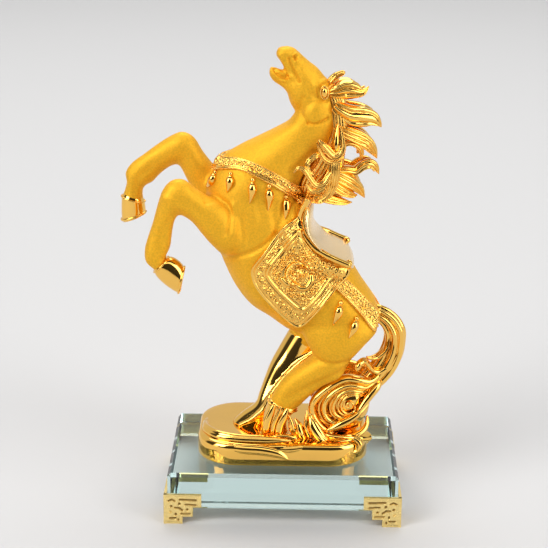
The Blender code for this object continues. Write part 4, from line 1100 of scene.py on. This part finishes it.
def stipple(places, pitch):
    """A field of small rounded dots in wandering rows."""
    wander = 0.6 * np.sin(places[:, 1] * 0.83) + 0.6 * np.sin(places[:, 0] * 0.57 + 1.3)
    u = 2 * math.pi * (places[:, 0] + 0.5 * places[:, 1] + wander) / pitch
    v = 2 * math.pi * (places[:, 1] * 0.866 + 0.5 * wander) / pitch
    return np.clip(0.5 + 0.5 * np.cos(u) * np.cos(v), 0, 1)


def medallion_relief(places):
    """A crescent and a small rosette above a wave: height, and how far it covers the cloth."""
    offset = places - np.array(MEDALLION)
    away = np.linalg.norm(offset, axis=1)
    crescent_gap = np.linalg.norm(offset - (2.2, -0.6), axis=1)
    crescent = np.clip((7.4 - away) / 0.7, 0, 1) * np.clip((crescent_gap - 5.6) / 0.7, 0, 1)
    height = 2.0 * crescent * np.clip((away - 4.6) / 0.6, 0, 1)
    rosette = np.linalg.norm(offset - (1.2, -0.2), axis=1)
    angle = np.arctan2(offset[:, 1] + 0.2, offset[:, 0] - 1.2)
    petals = 3.1 + 0.9 * np.cos(5 * angle + 2.5 * np.clip(rosette / 3.1, 0, 1))
    height += 1.5 * np.sqrt(np.clip(1 - (rosette / petals) ** 2, 0, 1)) + raised(rosette, 0.0, 1.1, 0.9)
    wave = distance_to_line(offset, spline(MEDALLION_WAVE, 8))
    height += raised(wave, 0.0, 1.5, 1.6)
    plume = distance_to_line(offset, spline(MEDALLION_PLUME, 8))
    height += raised(plume, 0.0, 1.1, 1.2)
    height += 0.7 * stipple(places, 1.3) * np.clip((7.8 - away) / 0.6, 0, 1)
    covered = np.minimum(np.minimum((away - 8.0) / 0.8, (wave - 2.2) / 0.6), (plume - 1.6) / 0.6)
    return height, 1 - np.clip(covered, 0, 1)


def cloth_relief(places, outline):
    """The cloth's height above its own flat at each place: cords, curls, dots and the medallion."""
    edge = distance_to_line(places, np.vstack([outline, outline[:1]]))
    border = distance_to_line(places, spline(CLOTH_BORDER, 8))
    cords = raised(edge, 1.2, 1.1, 1.1) + raised(edge, 3.3, 0.5, 0.5)
    cords += raised(border, 0.0, 1.0, 1.15) + raised(border, 1.9, 0.45, 0.4)
    badge, covered = medallion_relief(places)
    field = 0.9 * curls(places, 3.9, 2.3, 1.35, seed=5) + 0.5 * stipple(places, 1.4)
    clear = np.clip((edge - 3.8) / 0.5, 0, 1) * np.clip((border - 2.4) / 0.5, 0, 1) * (1 - covered)
    return cords + badge + 1.2 * field * clear - 0.45 * clear


def taut(grid, side, rounds=44, sink=0.25):
    """The depths of a sheet stretched over the places of a grid, which it may sink into by this much."""
    floor = grid[:, :, 1] * side - sink
    sheet = grid.copy()
    for _ in range(rounds):
        sheet = smooth_grid(sheet, 5, True)
        sheet[:, :, [0, 2]] = grid[:, :, [0, 2]]
        sheet[:, :, 1] = side * np.maximum(side * sheet[:, :, 1], floor)
    return smooth_grid(sheet, 4, True)[:, :, 1]


CLOTH_SPOKES = 460
CLOTH_RINGS = 104
# From the cloth's middle to its edge, how wide its rounded edge is, and how deep its back is set there and
# halfway in
CLOTH_REACH = 34
CLOTH_EDGE = 1.1
EDGE_DEPTH, INNER_DEPTH = 1.2, 2.5


def cloth_skin(tree, side):
    """The saddle cloth on one flank, closed at its edge and behind."""
    thickness = bpy.context.scene.horse_sizes.cloth_thickness
    spokes, rings = CLOTH_SPOKES, CLOTH_RINGS
    outline = spline(CLOTH_OUTLINE + CLOTH_OUTLINE[:1], 8)[:-1]
    angles = np.linspace(0, 2 * math.pi, spokes, endpoint=False)
    centre = np.array(MEDALLION)
    reach = edge_reach(outline, centre, angles)
    shares = np.linspace(0, 1, rings) ** 0.9
    shares[0] = 0.004
    grid = np.zeros((rings, spokes, 3))
    grid[:, :, 0] = centre[0] + shares[:, None] * reach * np.cos(angles)
    grid[:, :, 2] = centre[1] + shares[:, None] * reach * np.sin(angles)
    for i in range(rings):
        for j in range(spokes):
            grid[i, j, 1] = depth_at(tree, grid[i, j, 0], grid[i, j, 2], side, TORSO_HALF_WIDTH)
    grid[:, :, 1] = taut(grid, side)
    normals = grid_normals(grid, True)
    if (normals[:, :, 1] * side).mean() < 0:
        normals = -normals
    places = grid[:, :, [0, 2]].reshape(-1, 2)
    relief = cloth_relief(places, outline).reshape(rings, spokes)
    edge_fall = np.clip((1 - shares) * CLOTH_REACH / CLOTH_EDGE, 0, 1)[:, None] ** 0.5
    top = grid + normals * (thickness * edge_fall + relief * edge_fall)[:, :, None]
    under = grid[-1] - normals[-1] * EDGE_DEPTH
    deep = grid[rings // 2] - normals[rings // 2] * INNER_DEPTH
    return loft(np.vstack([top, under[None], deep[None]]))


# Rounds that find where a strap's line meets the middle plane, and points along the line
MEETING_ROUNDS = 14
LINE_POINTS = 90


def strap_line(tree, share, foot, top, side, ends):
    """Where a strap's level line lies on the body, from the middle plane round to the flank."""
    foot, top = np.array(foot, dtype=float), np.array(top, dtype=float)

    def level(x):
        low = np.interp(x, foot[:, 0], foot[:, 1])
        return low + (np.interp(x, top[:, 0], top[:, 1]) - low) * share

    inner, outer = ends
    towards = 1.0 if outer > inner else -1.0
    start = inner
    for _ in range(MEETING_ROUNDS):
        meeting = tree.ray_cast(Vector((inner, 0.0, level(start))), Vector((towards, 0, 0)))[0].x
        start = 0.5 * (start + meeting) if start != inner else meeting
    line = [(start, 0.0, level(start))]
    for i in range(1, LINE_POINTS):
        x = start + (outer - start) * (1 - math.cos(0.5 * math.pi * i / (LINE_POINTS - 1)))
        z = level(x)
        hit = flank_at(tree, x, z, side)
        if hit is not None:
            line.append((x, hit.y, z))
    line = np.array(line)
    steps = np.linalg.norm(np.diff(line, axis=0), axis=1)
    return line, np.concatenate([[0], np.cumsum(steps)])


def strap_relief(along, across, half):
    """A strap's raised edges, with small clouds and dots between them and a flower now and then."""
    edge = half - np.abs(across * half)
    lower = half * (1 + across)
    height = raised(edge, 0.6, 0.55, 0.55) + raised(lower, 2.1, 0.5, 0.5)
    places = np.stack([along.ravel(), (across * half).ravel()], axis=1)
    clear = np.clip((edge - 1.3) / 0.3, 0, 1) * np.clip((lower - 2.8) / 0.3, 0, 1)
    field = 0.95 * curls(places, 3.0, 1.7, 1.2, seed=11) + 0.45 * stipple(places, 1.15)
    height += clear * (field.reshape(edge.shape) - 0.25)
    period = 13.0
    place = (along / period) % 1.0 * period - period / 2
    for shift, level in ((0.0, 0.5), (-1.5, -0.7), (1.5, -0.7)):
        offset = np.hypot(place - shift, across * half - level)
        height += raised(offset, 0.0, 0.9, 0.95)
    return height


STRAP_ROWS = 34
STRAP_COLUMNS = 330
# How wide a strap's rounded edge is
STRAP_EDGE = 0.5


def strap_skin(tree, foot, top, side, ends):
    """Half of a strap, from the middle plane round one side, with its relief."""
    thickness = bpy.context.scene.horse_sizes.strap_thickness
    rows, columns = STRAP_ROWS, STRAP_COLUMNS
    grid = np.zeros((rows, columns, 3))
    lengths = []
    for i, share in enumerate(np.linspace(0, 1, rows)):
        line, travelled = strap_line(tree, share, foot, top, side, ends)
        at = np.linspace(0, travelled[-1], columns)
        for axis in range(3):
            grid[i, :, axis] = np.interp(at, travelled, line[:, axis])
        lengths.append(travelled[-1])
    grid = smooth_grid(grid, 6, False)
    normals = grid_normals(grid, False)
    middle = columns // 2
    if (normals[:, middle:, 1] * side).mean() < 0:
        normals = -normals
    half = np.linalg.norm(grid[-1, middle] - grid[0, middle]) / 2
    across = np.linspace(-1, 1, rows)[:, None] * np.ones((1, columns))
    along = np.linspace(0, np.mean(lengths), columns)[None] * np.ones((rows, 1))
    relief = strap_relief(along, across, half)
    edge_fall = np.clip((1 - np.abs(across)) * half / STRAP_EDGE, 0, 1) ** 0.5
    outer = grid + normals * ((thickness + relief) * edge_fall)[:, :, None]
    inner = grid - normals
    rings = np.concatenate([outer, inner[::-1]], axis=0).transpose(1, 0, 2)
    return loft(rings), outer


def drop_skin(tree, x1, z1, x2, z2, side):
    """A tassel drop that hangs on the body from its ring to its pointed tip."""
    heading = np.array([x2 - x1, z2 - z1])
    aside = np.array([-heading[1], heading[0]]) / np.linalg.norm(heading)
    rows = []
    for share, half, lean in DROP_PROFILE:
        x, z = np.array([x1, z1]) + heading * share + aside * lean
        proud = max(half * 0.5, 0.6) if share < 0.9 else 0.3
        rows.append((x, z, depth_at(tree, x, z, side) + side * proud, half, half * 0.95))
    return strand(rows, spans=4, sides=24, lobes=3, depth=0.10, turn=0.5)


# Geometry Nodes


def bead_tree():
    """A node tree that sets beads along every edge of a mesh."""
    tree = bpy.data.node_groups.new("bead_row", "GeometryNodeTree")
    face = tree.interface
    face.new_socket("Geometry", in_out="INPUT", socket_type="NodeSocketGeometry")
    for name in ("Bead radius", "Bead spacing"):
        face.new_socket(name, in_out="INPUT", socket_type="NodeSocketFloat")
    face.new_socket("Finish", in_out="INPUT", socket_type="NodeSocketMaterial")
    face.new_socket("Geometry", in_out="OUTPUT", socket_type="NodeSocketGeometry")
    nodes, links = tree.nodes, tree.links
    given, result = nodes.new("NodeGroupInput"), nodes.new("NodeGroupOutput")
    curve = nodes.new("GeometryNodeMeshToCurve")
    even = nodes.new("GeometryNodeResampleCurve")
    even.mode = "LENGTH"
    bead = nodes.new("GeometryNodeMeshUVSphere")
    bead.inputs["Segments"].default_value = 10
    bead.inputs["Rings"].default_value = 7
    copies = nodes.new("GeometryNodeInstanceOnPoints")
    real = nodes.new("GeometryNodeRealizeInstances")
    smooth = nodes.new("GeometryNodeSetShadeSmooth")
    finish = nodes.new("GeometryNodeSetMaterial")
    for source, output, target, name in (
        (given, "Geometry", curve, "Mesh"), (curve, "Curve", even, "Curve"),
        (given, "Bead spacing", even, "Length"), (given, "Bead radius", bead, "Radius"),
        (even, "Curve", copies, "Points"), (bead, "Mesh", copies, "Instance"),
        (copies, "Instances", real, "Geometry"), (real, "Geometry", smooth, "Geometry"),
        (smooth, "Geometry", finish, "Geometry"), (given, "Finish", finish, "Material"),
        (finish, "Geometry", result, "Geometry"),
    ):
        links.new(source.outputs[output], target.inputs[name])
    return tree


def bead_rows(name, lines, material):
    """Beads along lines of drawn points, as one piece."""
    sizes = bpy.context.scene.horse_sizes
    points, edges = [], []
    for line in lines:
        start = len(points)
        points += placed(line).tolist()
        edges += [(start + i, start + i + 1) for i in range(len(line) - 1)]
    mesh = bpy.data.meshes.new(name)
    mesh.from_pydata(points, edges, [])
    thing = linked("laying beads", mesh)
    tree = bead_tree()
    row = thing.modifiers.new("Beads", "NODES")
    row.node_group = tree
    values = {"Bead radius": sizes.bead_radius * UNIT, "Bead spacing": sizes.bead_spacing * UNIT,
              "Finish": material}
    for item in tree.interface.items_tree:
        if item.in_out == "INPUT" and item.name in values:
            row[item.identifier] = values[item.name]
    mesh = settled(thing)
    mesh.name = name
    return declare(linked(name, mesh), material, "horse_figure")


# Base, glass and feet


def rounded_ring(length, width, corner, z, steps=22):
    """A level ring in metres, a rectangle with round corners and evenly spaced sides."""
    points = []
    corner = min(corner, length / 2, width / 2)
    for quarter in range(4):
        sx = 1 if quarter in (0, 3) else -1
        sy = 1 if quarter in (0, 1) else -1
        for i in range(steps):
            angle = math.radians(90 * quarter + 90 * i / (steps - 1))
            points.append((sx * (length / 2 - corner) + corner * math.cos(angle),
                           sy * (width / 2 - corner) + corner * math.sin(angle), z))
    return points


BASE_SHOULDER = 0.0080
BASE_OFFSET = -0.0008
# Height as a share of the base's, and how far in the side stands as a share of the shoulder
BASE_PROFILE = [
    (0.0, 0.12), (0.04, 0.04), (0.12, 0.0), (0.50, 0.0), (0.74, 0.03), (0.86, 0.09), (0.94, 0.21),
    (0.985, 0.44), (1.0, 0.8), (1.0, 1.6), (0.99, 2.7), (0.98, 3.8),
]


def base_skin():
    """The rounded base slab: sides that bulge, a rounded shoulder and a slightly dished top."""
    sizes = bpy.context.scene.plinth_sizes
    profile = spline(BASE_PROFILE, 6)
    rings = []
    for share, inset in profile:
        inset = inset * BASE_SHOULDER
        corner = max(sizes.base_corner - inset * 0.7, 0.002)
        ring = np.array(rounded_ring(sizes.base_length - 2 * inset, sizes.base_width - 2 * inset, corner,
                                     FIGURE_LOW.z + share * BASE_HEIGHT))
        ring[:, 0] += MIDDLE_X + BASE_OFFSET
        rings.append(ring)
    return loft(rings)


# A foot's wing in millimetres: its length and height, how far it reaches down to each step, and the fret's
# strokes, across from the outer corner and down from the top, each with its half width
WING_LENGTH, WING_HEIGHT = 24.6, 20.9
WING_COLUMNS, WING_ROWS = 83, 71
RIM_RISE, FRET_DEPTH = 0.2, 1.35
FOOT_STEPS = [(WING_LENGTH, 8.8), (19.0, 15.7), (12.4, WING_HEIGHT)]
FRET = [
    ([(3.4, 4.6), (5.3, 3.6), (7.2, 4.6)], 0.50), ([(10.7, 3.7), (21.0, 3.9)], 0.62),
    ([(14.3, 7.0), (20.9, 7.4)], 0.50), ([(7.4, 9.5), (10, 9.6), (12.2, 11.2)], 0.55),
    ([(11.4, 13.6), (16.8, 13.6)], 0.60), ([(4.2, 16.9), (7.6, 16.9)], 0.55),
    ([(10.2, 6.5), (10.3, 6.6)], 0.70), ([(5.0, 8.4), (5.1, 8.5)], 0.70), ([(4.4, 12.2), (4.5, 12.3)], 0.70),
    ([(15.4, 10.6), (15.5, 10.6)], 0.65), ([(8.0, 13.4), (8.0, 14.6)], 0.50),
    ([(9.6, 17.6), (9.6, 18.4)], 0.45),
]
# In metres from the foot's outer corner: the shelf's near and far side, and the start and depths of the
# plates of painted shade
SHELF_NEAR, SHELF_FAR = 0.001, 0.019
PAINTED_SHADE_START, PAINTED_SHADE_FRONT, PAINTED_SHADE_BACK = 0.0012, 0.0011, 0.0014


def foot_wing(length, height, wall):
    """One wing of a foot: places across, inwards and up, as a closed plate with its fret sunk in it."""
    across, down = np.linspace(0, WING_LENGTH, WING_COLUMNS), np.linspace(0, WING_HEIGHT, WING_ROWS)
    x, z = np.meshgrid(across, down, indexing="ij")
    places = np.column_stack([x.ravel(), z.ravel()])
    reaches, feet = zip(*FOOT_STEPS)
    wide = np.select([z < step for step in feet], reaches, reaches[-1])
    edge = np.minimum.reduce([wide - x, z, WING_HEIGHT - z]).ravel()
    for (_, step), (inner, _) in zip(FOOT_STEPS, FOOT_STEPS[1:]):
        corner = np.hypot(np.maximum(0, inner - x), step - z)
        edge = np.minimum(edge, np.where(z < step, corner, 99.0).ravel())
    sunk = np.zeros(len(places))
    for line, half in FRET:
        sunk = np.maximum(sunk, np.clip((1.1 * half + 0.15 - distance_to_line(places, line)) / 0.3, 0, 1))
    ridge = np.clip(1 - ((edge - 0.75) / 0.7) ** 2, 0, 1) * (1 - sunk)
    front = (RIM_RISE + FRET_DEPTH * sunk - RIM_RISE * np.sqrt(ridge)).reshape(x.shape)
    half_cell = 0.16
    kept = wide[:-1, :-1] > x[1:, 1:] - half_cell
    points, index, faces = [], {}, []

    def corner_of(i, j, back):
        if (i, j, back) not in index:
            index[(i, j, back)] = len(points)
            inward = wall * 1000 if back else front[i, j]
            up = height * (1 - z[i, j] / WING_HEIGHT)
            points.append((x[i, j] / WING_LENGTH * length, inward / 1000, up))
        return index[(i, j, back)]

    rows, columns = kept.shape
    for i in range(rows):
        for j in range(columns):
            if not kept[i, j]:
                continue
            ring = [(i, j), (i + 1, j), (i + 1, j + 1), (i, j + 1)]
            faces.append([corner_of(*spot, False) for spot in ring])
            faces.append([corner_of(*spot, True) for spot in ring[::-1]])
            beyond = [(i, j - 1), (i + 1, j), (i, j + 1), (i - 1, j)]
            for (k, l), a, b in zip(beyond, ring, ring[1:] + ring[:1]):
                if 0 <= k < rows and 0 <= l < columns and kept[k, l]:
                    continue
                side = ((b, False), (a, False), (a, True), (b, True))
                faces.append([corner_of(*spot, back) for spot, back in side])
    return np.array(points), faces


def box_skin(low, high):
    """A plain box between two corners."""
    (x0, y0, z0), (x1, y1, z1) = low, high
    points = np.array([(x, y, z) for z in (z0, z1) for x, y in ((x0, y0), (x1, y0), (x1, y1), (x0, y1))])
    return points, [(3, 2, 1, 0), (4, 5, 6, 7), (0, 1, 5, 4), (1, 2, 6, 5), (2, 3, 7, 6), (3, 0, 4, 7)]


def set_in_corner(skins, low, high, sx, sy, both):
    """Skins drawn from a foot's outer corner set at its place, and their twins on its other wing."""
    corner = np.array([low.x if sx > 0 else high.x, low.y if sy > 0 else high.y, low.z])
    orders = ((0, 1, 2), (1, 0, 2)) if both else ((0, 1, 2),)
    return [outward(points[:, order] * (sx, sy, 1) + corner, faces)
            for points, faces in skins for order in orders]


def foot_skins(low, high, sx, sy):
    """A corner foot between its box's corners: two wings and the shelf under the glass."""
    sizes = bpy.context.scene.plinth_sizes
    wing = foot_wing(high.x - low.x, high.z - low.z, sizes.foot_wall)
    shelf_foot = sizes.shelf_top - sizes.shelf_thickness
    shelf = box_skin((SHELF_NEAR, SHELF_NEAR, shelf_foot), (SHELF_FAR, SHELF_FAR, sizes.shelf_top))
    return set_in_corner([wing], low, high, sx, sy, True) + set_in_corner([shelf], low, high, sx, sy, False)


def foot_painted_shades(low, high, sx, sy):
    """Dark plates that paint the shade in the bottom of a foot's fret."""
    height = high.z - low.z
    margin, overlap = 0.9, 1.2
    plates, above = [], margin
    for reach, step in FOOT_STEPS:
        foot, head = (height * (1 - down / WING_HEIGHT) for down in (step - margin, above))
        end = (reach - 1.0) / 1000
        plates.append(box_skin((PAINTED_SHADE_START, PAINTED_SHADE_FRONT, foot), (end, PAINTED_SHADE_BACK, head)))
        above = step - overlap
    return set_in_corner(plates, low, high, sx, sy, True)


# Operators


class HORSE_OT_body(bpy.types.Operator):
    """Make the matte body of the horse"""

    bl_idname = "horse.body"
    bl_label = "Body"

    def execute(self, context):
        skin, _ = cached_body()
        finish_piece("horse_body", [skin], matte_gold())
        return {"FINISHED"}


class HORSE_OT_hooves(bpy.types.Operator):
    """Make the polished hooves and the polished far hind leg"""

    bl_idname = "horse.hooves"
    bl_label = "Hooves"

    def execute(self, context):
        gold = bright_gold("hoof_gold")
        hooves = []
        for rows in (FAR_FORE_HOOF, NEAR_FORE_HOOF, NEAR_HIND_HOOF):
            hooves.append(limb(rows, spans=8, sides=72))
            hooves += [hoof_ring(rows[1], 0.6, 0.3), hoof_ring(rows[-2], 0.9, 0.1)]
        hooves += [strand(ridge, spans=8, sides=24) for ridge in HOOF_RIDGES]
        finish_piece("hooves", hooves, gold)
        ridges = [strand(ridge, spans=8, sides=24) for ridge in FAR_LEG_RIDGES]
        leg = fused([limb(FAR_HIND_LEG, sides=72), *ridges], 0.8, 5)
        finish_piece("far_hind_leg", [leg], gold)
        return {"FINISHED"}


class HORSE_OT_eyes(bpy.types.Operator):
    """Make the polished eyes with their rims"""

    bl_idname = "horse.eyes"
    bl_label = "Eyes"

    def execute(self, context):
        x, z, y, wide, high, deep = EYE
        lean, proud = 0.12, 0.5
        skins = []
        for side in BOTH:
            skins.append(ball(x, z, side * y, wide, high, deep, steps=24))
            rim = []
            for angle in full_turn():
                a, b = (wide + proud) * math.cos(angle), (high + proud) * math.sin(angle)
                rim.append((x + a - lean * b, z + b + lean * a, side * (y + 0.1), 0.55, 0.55))
            skins.append(strand(rim, spans=1, sides=12))
        finish_piece("eyes", skins, bright_gold("eye_gold"))
        return {"FINISHED"}


class HORSE_OT_mane(bpy.types.Operator):
    """Make the polished mane"""

    bl_idname = "horse.mane"
    bl_label = "Mane"

    def execute(self, context):
        gold = bright_gold("mane_gold")
        finish_piece("mane_core", [mane_core()], gold)
        finish_piece("mane_near_locks", fluted_locks(NEAR), gold)
        finish_piece("mane_far_locks", fluted_locks(FAR), gold)
        return {"FINISHED"}


class HORSE_OT_tack(bpy.types.Operator):
    """Make the saddle, its cloth, the straps and the drops"""

    bl_idname = "horse.tack"
    bl_label = "Saddle and harness"

    def execute(self, context):
        sizes = context.scene.horse_sizes
        skin, tree = cached_body()
        gold = bright_gold("saddle_gold")
        relief_gold = bright_gold("relief_gold", roughness=0.11)
        seat = limb(centred(SADDLE), spans=12, sides=96)
        saddle_tree = surface_of(joined([skin, seat]))
        saddle = []
        for side in BOTH:
            saddle.append(cord_on(saddle_tree, SKIRT_ROLL, side, sizes.skirt_cord, 0.9, sides=24))
            saddle.append(cord_on(saddle_tree, SEAT_ROLL, side, 0.8, 0.3, sides=18))
        for side in BOTH:
            x, z = SKIRT_ROLL[-1]
            saddle.append(ball(x - 0.4, z + 0.6, depth_at(saddle_tree, x - 2, z, side), 2.4, 2.4, 2.4))
        finish_piece("saddle_rolls", saddle, gold)
        # The seat's paler gold paints the whitish sheen of light on its real satin finish
        finish_piece("saddle_seat", [seat], satin_gold_painted_sheen())
        for side, hand in ((NEAR, "near"), (FAR, "far")):
            finish_piece(f"saddle_cloth_{hand}", [cloth_skin(tree, side)], relief_gold)
        straps, edges, drops = [], [], []
        for side in BOTH:
            for foot, top, ends in STRAPS:
                strap, outer = strap_skin(tree, foot, top, side, ends)
                straps.append(strap)
                edges += [outer[1], outer[-2]]
            for drop in BREAST_DROPS + RUMP_DROPS:
                drops.append(drop_skin(tree, *drop, side))
        finish_piece("harness_straps", straps, relief_gold)
        bead_rows("harness_beads", edges, relief_gold)
        finish_piece("tassel_drops", drops, gold)
        return {"FINISHED"}


class HORSE_OT_tail(bpy.types.Operator):
    """Make the tail, the wave scroll and the waves"""

    bl_idname = "horse.tail"
    bl_label = "Tail and waves"

    def execute(self, context):
        gold = bright_gold("tail_gold")
        tail = [
            strand(TAIL, spans=14, sides=120, lobes=7, depth=0.36, twist=1.2),
            *(strand(curl, spans=12, sides=54, lobes=3, depth=0.30, twist=1.0) for curl in TAIL_CURLS),
        ]
        finish_piece("tail", tail, gold)
        finish_piece("wave_scroll", scroll_skins(), gold)
        finish_piece("waves", wave_skins(), gold)
        return {"FINISHED"}


class HORSE_OT_base(bpy.types.Operator):
    """Make the polished base"""

    bl_idname = "horse.base"
    bl_label = "Gold base"

    def execute(self, context):
        mesh = mesh_of("gold_base", [base_skin()])
        mesh.shade_smooth()
        declare(linked("gold_base", mesh), bright_gold("base_gold"), "horse_figure")
        return {"FINISHED"}


class HORSE_OT_plinth(bpy.types.Operator):
    """Give the glass plinth and its brass feet their finish, with painted shade in the feet's fret"""

    bl_idname = "horse.plinth"
    bl_label = "Glass plinth and feet"

    def execute(self, context):
        glass, brass, dark = clear_glass(), satin_brass(), painted_shade_brass()
        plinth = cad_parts["glass_plinth"]
        plinth.data.materials.clear()
        plinth.data.materials.append(glass)
        for depth, sy in (("front", 1), ("back", -1)):
            for hand, sx in (("left", 1), ("right", -1)):
                node = f"corner_foot_{depth}_{hand}"
                mesh = mesh_of(node, foot_skins(*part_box(node), sx, sy))
                declare(linked(f"foot_{depth}_{hand}", mesh), brass, node)
                # Dark plates of painted shade behind the fret's slots
                mesh = mesh_of(f"{node}_painted_shade", foot_painted_shades(*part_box(node), sx, sy))
                declare(linked(f"fret_painted_shade_{depth}_{hand}", mesh), dark, node)
        return {"FINISHED"}


class HORSE_OT_studio(bpy.types.Operator):
    """Make the floor, the light and the camera"""

    bl_idname = "horse.studio"
    bl_label = "Studio"

    def execute(self, context):
        make_floor()
        make_light()
        make_camera()
        return {"FINISHED"}


def make_floor():
    """A wide, level, pale floor."""
    settings = bpy.context.scene.studio
    mesh = bpy.data.meshes.new("floor")
    corners = [(x * FLOOR_REACH, y * FLOOR_REACH, 0) for x, y in ((-1, -1), (1, -1), (1, 1), (-1, 1))]
    mesh.from_pydata(corners, [], [(0, 1, 2, 3)])
    floor = linked("floor", mesh)
    material, _, _, shader = new_material("pale_paper")
    shader.inputs["Base Color"].default_value = (*settings.floor_colour, 1)
    shader.inputs["Roughness"].default_value = 0.9
    mesh.materials.append(material)


def area_light(name, place, target, size, power):
    """A soft rectangular lamp aimed at a point."""
    lamp = bpy.data.lights.new(name, "AREA")
    lamp.shape = "RECTANGLE"
    lamp.size, lamp.size_y = size
    lamp.energy = power
    thing = bpy.data.objects.new(name, lamp)
    thing.location = place
    thing.rotation_euler = (Vector(target) - Vector(place)).to_track_quat("-Z", "Y").to_euler()
    bpy.context.collection.objects.link(thing)


FLOOR_REACH = 8.0
# Each soft box: name, place, what it is aimed at, size
LAMPS = [
    ("key", (-2.2, -1.7, 2.2), (0.0, 0.0, 0.14), (1.7, 2.2)),
    ("fill", (2.5, -1.3, 1.3), (0.0, 0.0, 0.14), (2.0, 2.6)),
    ("top", (0.0, 1.5, 3.0), (0.0, 0.5, 0.0), (2.8, 2.2)),
]
# The room's brightness from behind the viewer (0) through the sides (0.5) to behind the object (1)
ROOM = [
    (0.0, 0.02), (0.19, 0.03), (0.235, 1.0), (0.30, 1.0), (0.34, 0.03), (0.54, 0.03), (0.61, 0.36),
    (1.0, 0.36),
]
# The camera's azimuth, elevation and roll in degrees, where it aims from the glass's middle and underside,
# in metres, and the width of its sensor in millimetres
CAMERA_ANGLES = (0.86, 18.22, 0.56)
CAMERA_AIM = (-0.0077, 0.1458)
SENSOR_WIDTH = 36.0


def make_light():
    """Soft boxes at the left, the right and above, and a room with bright and dark bands."""
    settings = bpy.context.scene.studio
    powers = (settings.key_power, settings.fill_power, settings.top_power)
    for (name, place, target, size), power in zip(LAMPS, powers):
        area_light(name, place, target, size, power)
    world = bpy.data.worlds.new("room")
    world.use_nodes = True
    nodes, links = world.node_tree.nodes, world.node_tree.links
    coordinates = nodes.new("ShaderNodeTexCoord")
    split = nodes.new("ShaderNodeSeparateXYZ")
    links.new(coordinates.outputs["Generated"], split.inputs["Vector"])
    ramp = nodes.new("ShaderNodeValToRGB")
    share = nodes.new("ShaderNodeMapRange")
    share.inputs["From Min"].default_value = -1.0
    share.inputs["From Max"].default_value = 1.0
    links.new(split.outputs["Y"], share.inputs["Value"])
    links.new(share.outputs["Result"], ramp.inputs["Fac"])
    while len(ramp.color_ramp.elements) < len(ROOM):
        ramp.color_ramp.elements.new(0.5)
    for stop, (place, shade) in zip(ramp.color_ramp.elements, ROOM):
        stop.position = place
        stop.color = (shade, shade, shade, 1)
    links.new(ramp.outputs["Color"], nodes["Background"].inputs["Color"])
    nodes["Background"].inputs["Strength"].default_value = settings.sky_strength
    bpy.context.scene.world = world
    bpy.context.scene.view_settings.view_transform = "Standard"


def make_camera():
    """The camera at the photograph's viewing angle."""
    settings = bpy.context.scene.studio
    azimuth, elevation, roll = (math.radians(angle) for angle in CAMERA_ANGLES)
    target = Vector((CAMERA_AIM[0] + MIDDLE_X, 0.0, CAMERA_AIM[1] + GLASS_LOW.z))
    back = Vector((math.sin(azimuth) * math.cos(elevation), -math.cos(azimuth) * math.cos(elevation),
                   math.sin(elevation)))
    right = (-back).cross(Vector((0, 0, 1))).normalized()
    up = right.cross(-back).normalized()
    level_right = right * math.cos(roll) + up * math.sin(roll)
    level_up = up * math.cos(roll) - right * math.sin(roll)
    lens = bpy.data.cameras.new("camera")
    lens.lens = settings.camera_lens
    lens.sensor_width = SENSOR_WIDTH
    camera = bpy.data.objects.new("camera", lens)
    turn = Matrix((level_right, level_up, back)).transposed().to_4x4()
    camera.matrix_world = Matrix.Translation(target + back * settings.camera_distance) @ turn
    bpy.context.collection.objects.link(camera)
    bpy.context.scene.camera = camera


class HORSE_PT_panel(bpy.types.Panel):
    """Lists the pieces of the horse"""

    bl_label = "Gilded horse"
    bl_space_type = "VIEW_3D"
    bl_region_type = "UI"
    bl_category = "Horse"

    def draw(self, context):
        scene = context.scene
        for group in (scene.horse_sizes, scene.plinth_sizes, scene.horse_finishes, scene.studio):
            box = self.layout.box()
            for name in group.__annotations__:
                box.prop(group, name)
        for operator in OPERATORS:
            self.layout.operator(operator.bl_idname)


GROUPS = {
    "horse_sizes": HorseSizes,
    "plinth_sizes": PlinthSizes,
    "horse_finishes": HorseFinishes,
    "studio": StudioSettings,
}
OPERATORS = (
    HORSE_OT_body,
    HORSE_OT_hooves,
    HORSE_OT_eyes,
    HORSE_OT_mane,
    HORSE_OT_tack,
    HORSE_OT_tail,
    HORSE_OT_base,
    HORSE_OT_plinth,
    HORSE_OT_studio,
)


def register():
    """Registers the classes and puts the settings on the scene."""
    for name, group in GROUPS.items():
        bpy.utils.register_class(group)
        setattr(bpy.types.Scene, name, PointerProperty(type=group))
    for operator in OPERATORS:
        bpy.utils.register_class(operator)
    bpy.utils.register_class(HORSE_PT_panel)


def unregister():
    """Takes the classes and the settings away again."""
    bpy.utils.unregister_class(HORSE_PT_panel)
    for operator in reversed(OPERATORS):
        bpy.utils.unregister_class(operator)
    for name, group in GROUPS.items():
        delattr(bpy.types.Scene, name)
        bpy.utils.unregister_class(group)


def main():
    """Builds every piece in order."""
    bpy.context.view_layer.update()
    register()
    bpy.ops.horse.body()
    bpy.ops.horse.hooves()
    bpy.ops.horse.eyes()
    bpy.ops.horse.mane()
    bpy.ops.horse.tack()
    bpy.ops.horse.tail()
    bpy.ops.horse.base()
    bpy.ops.horse.plinth()
    bpy.ops.horse.studio()


if __name__ == "__main__":
    main()
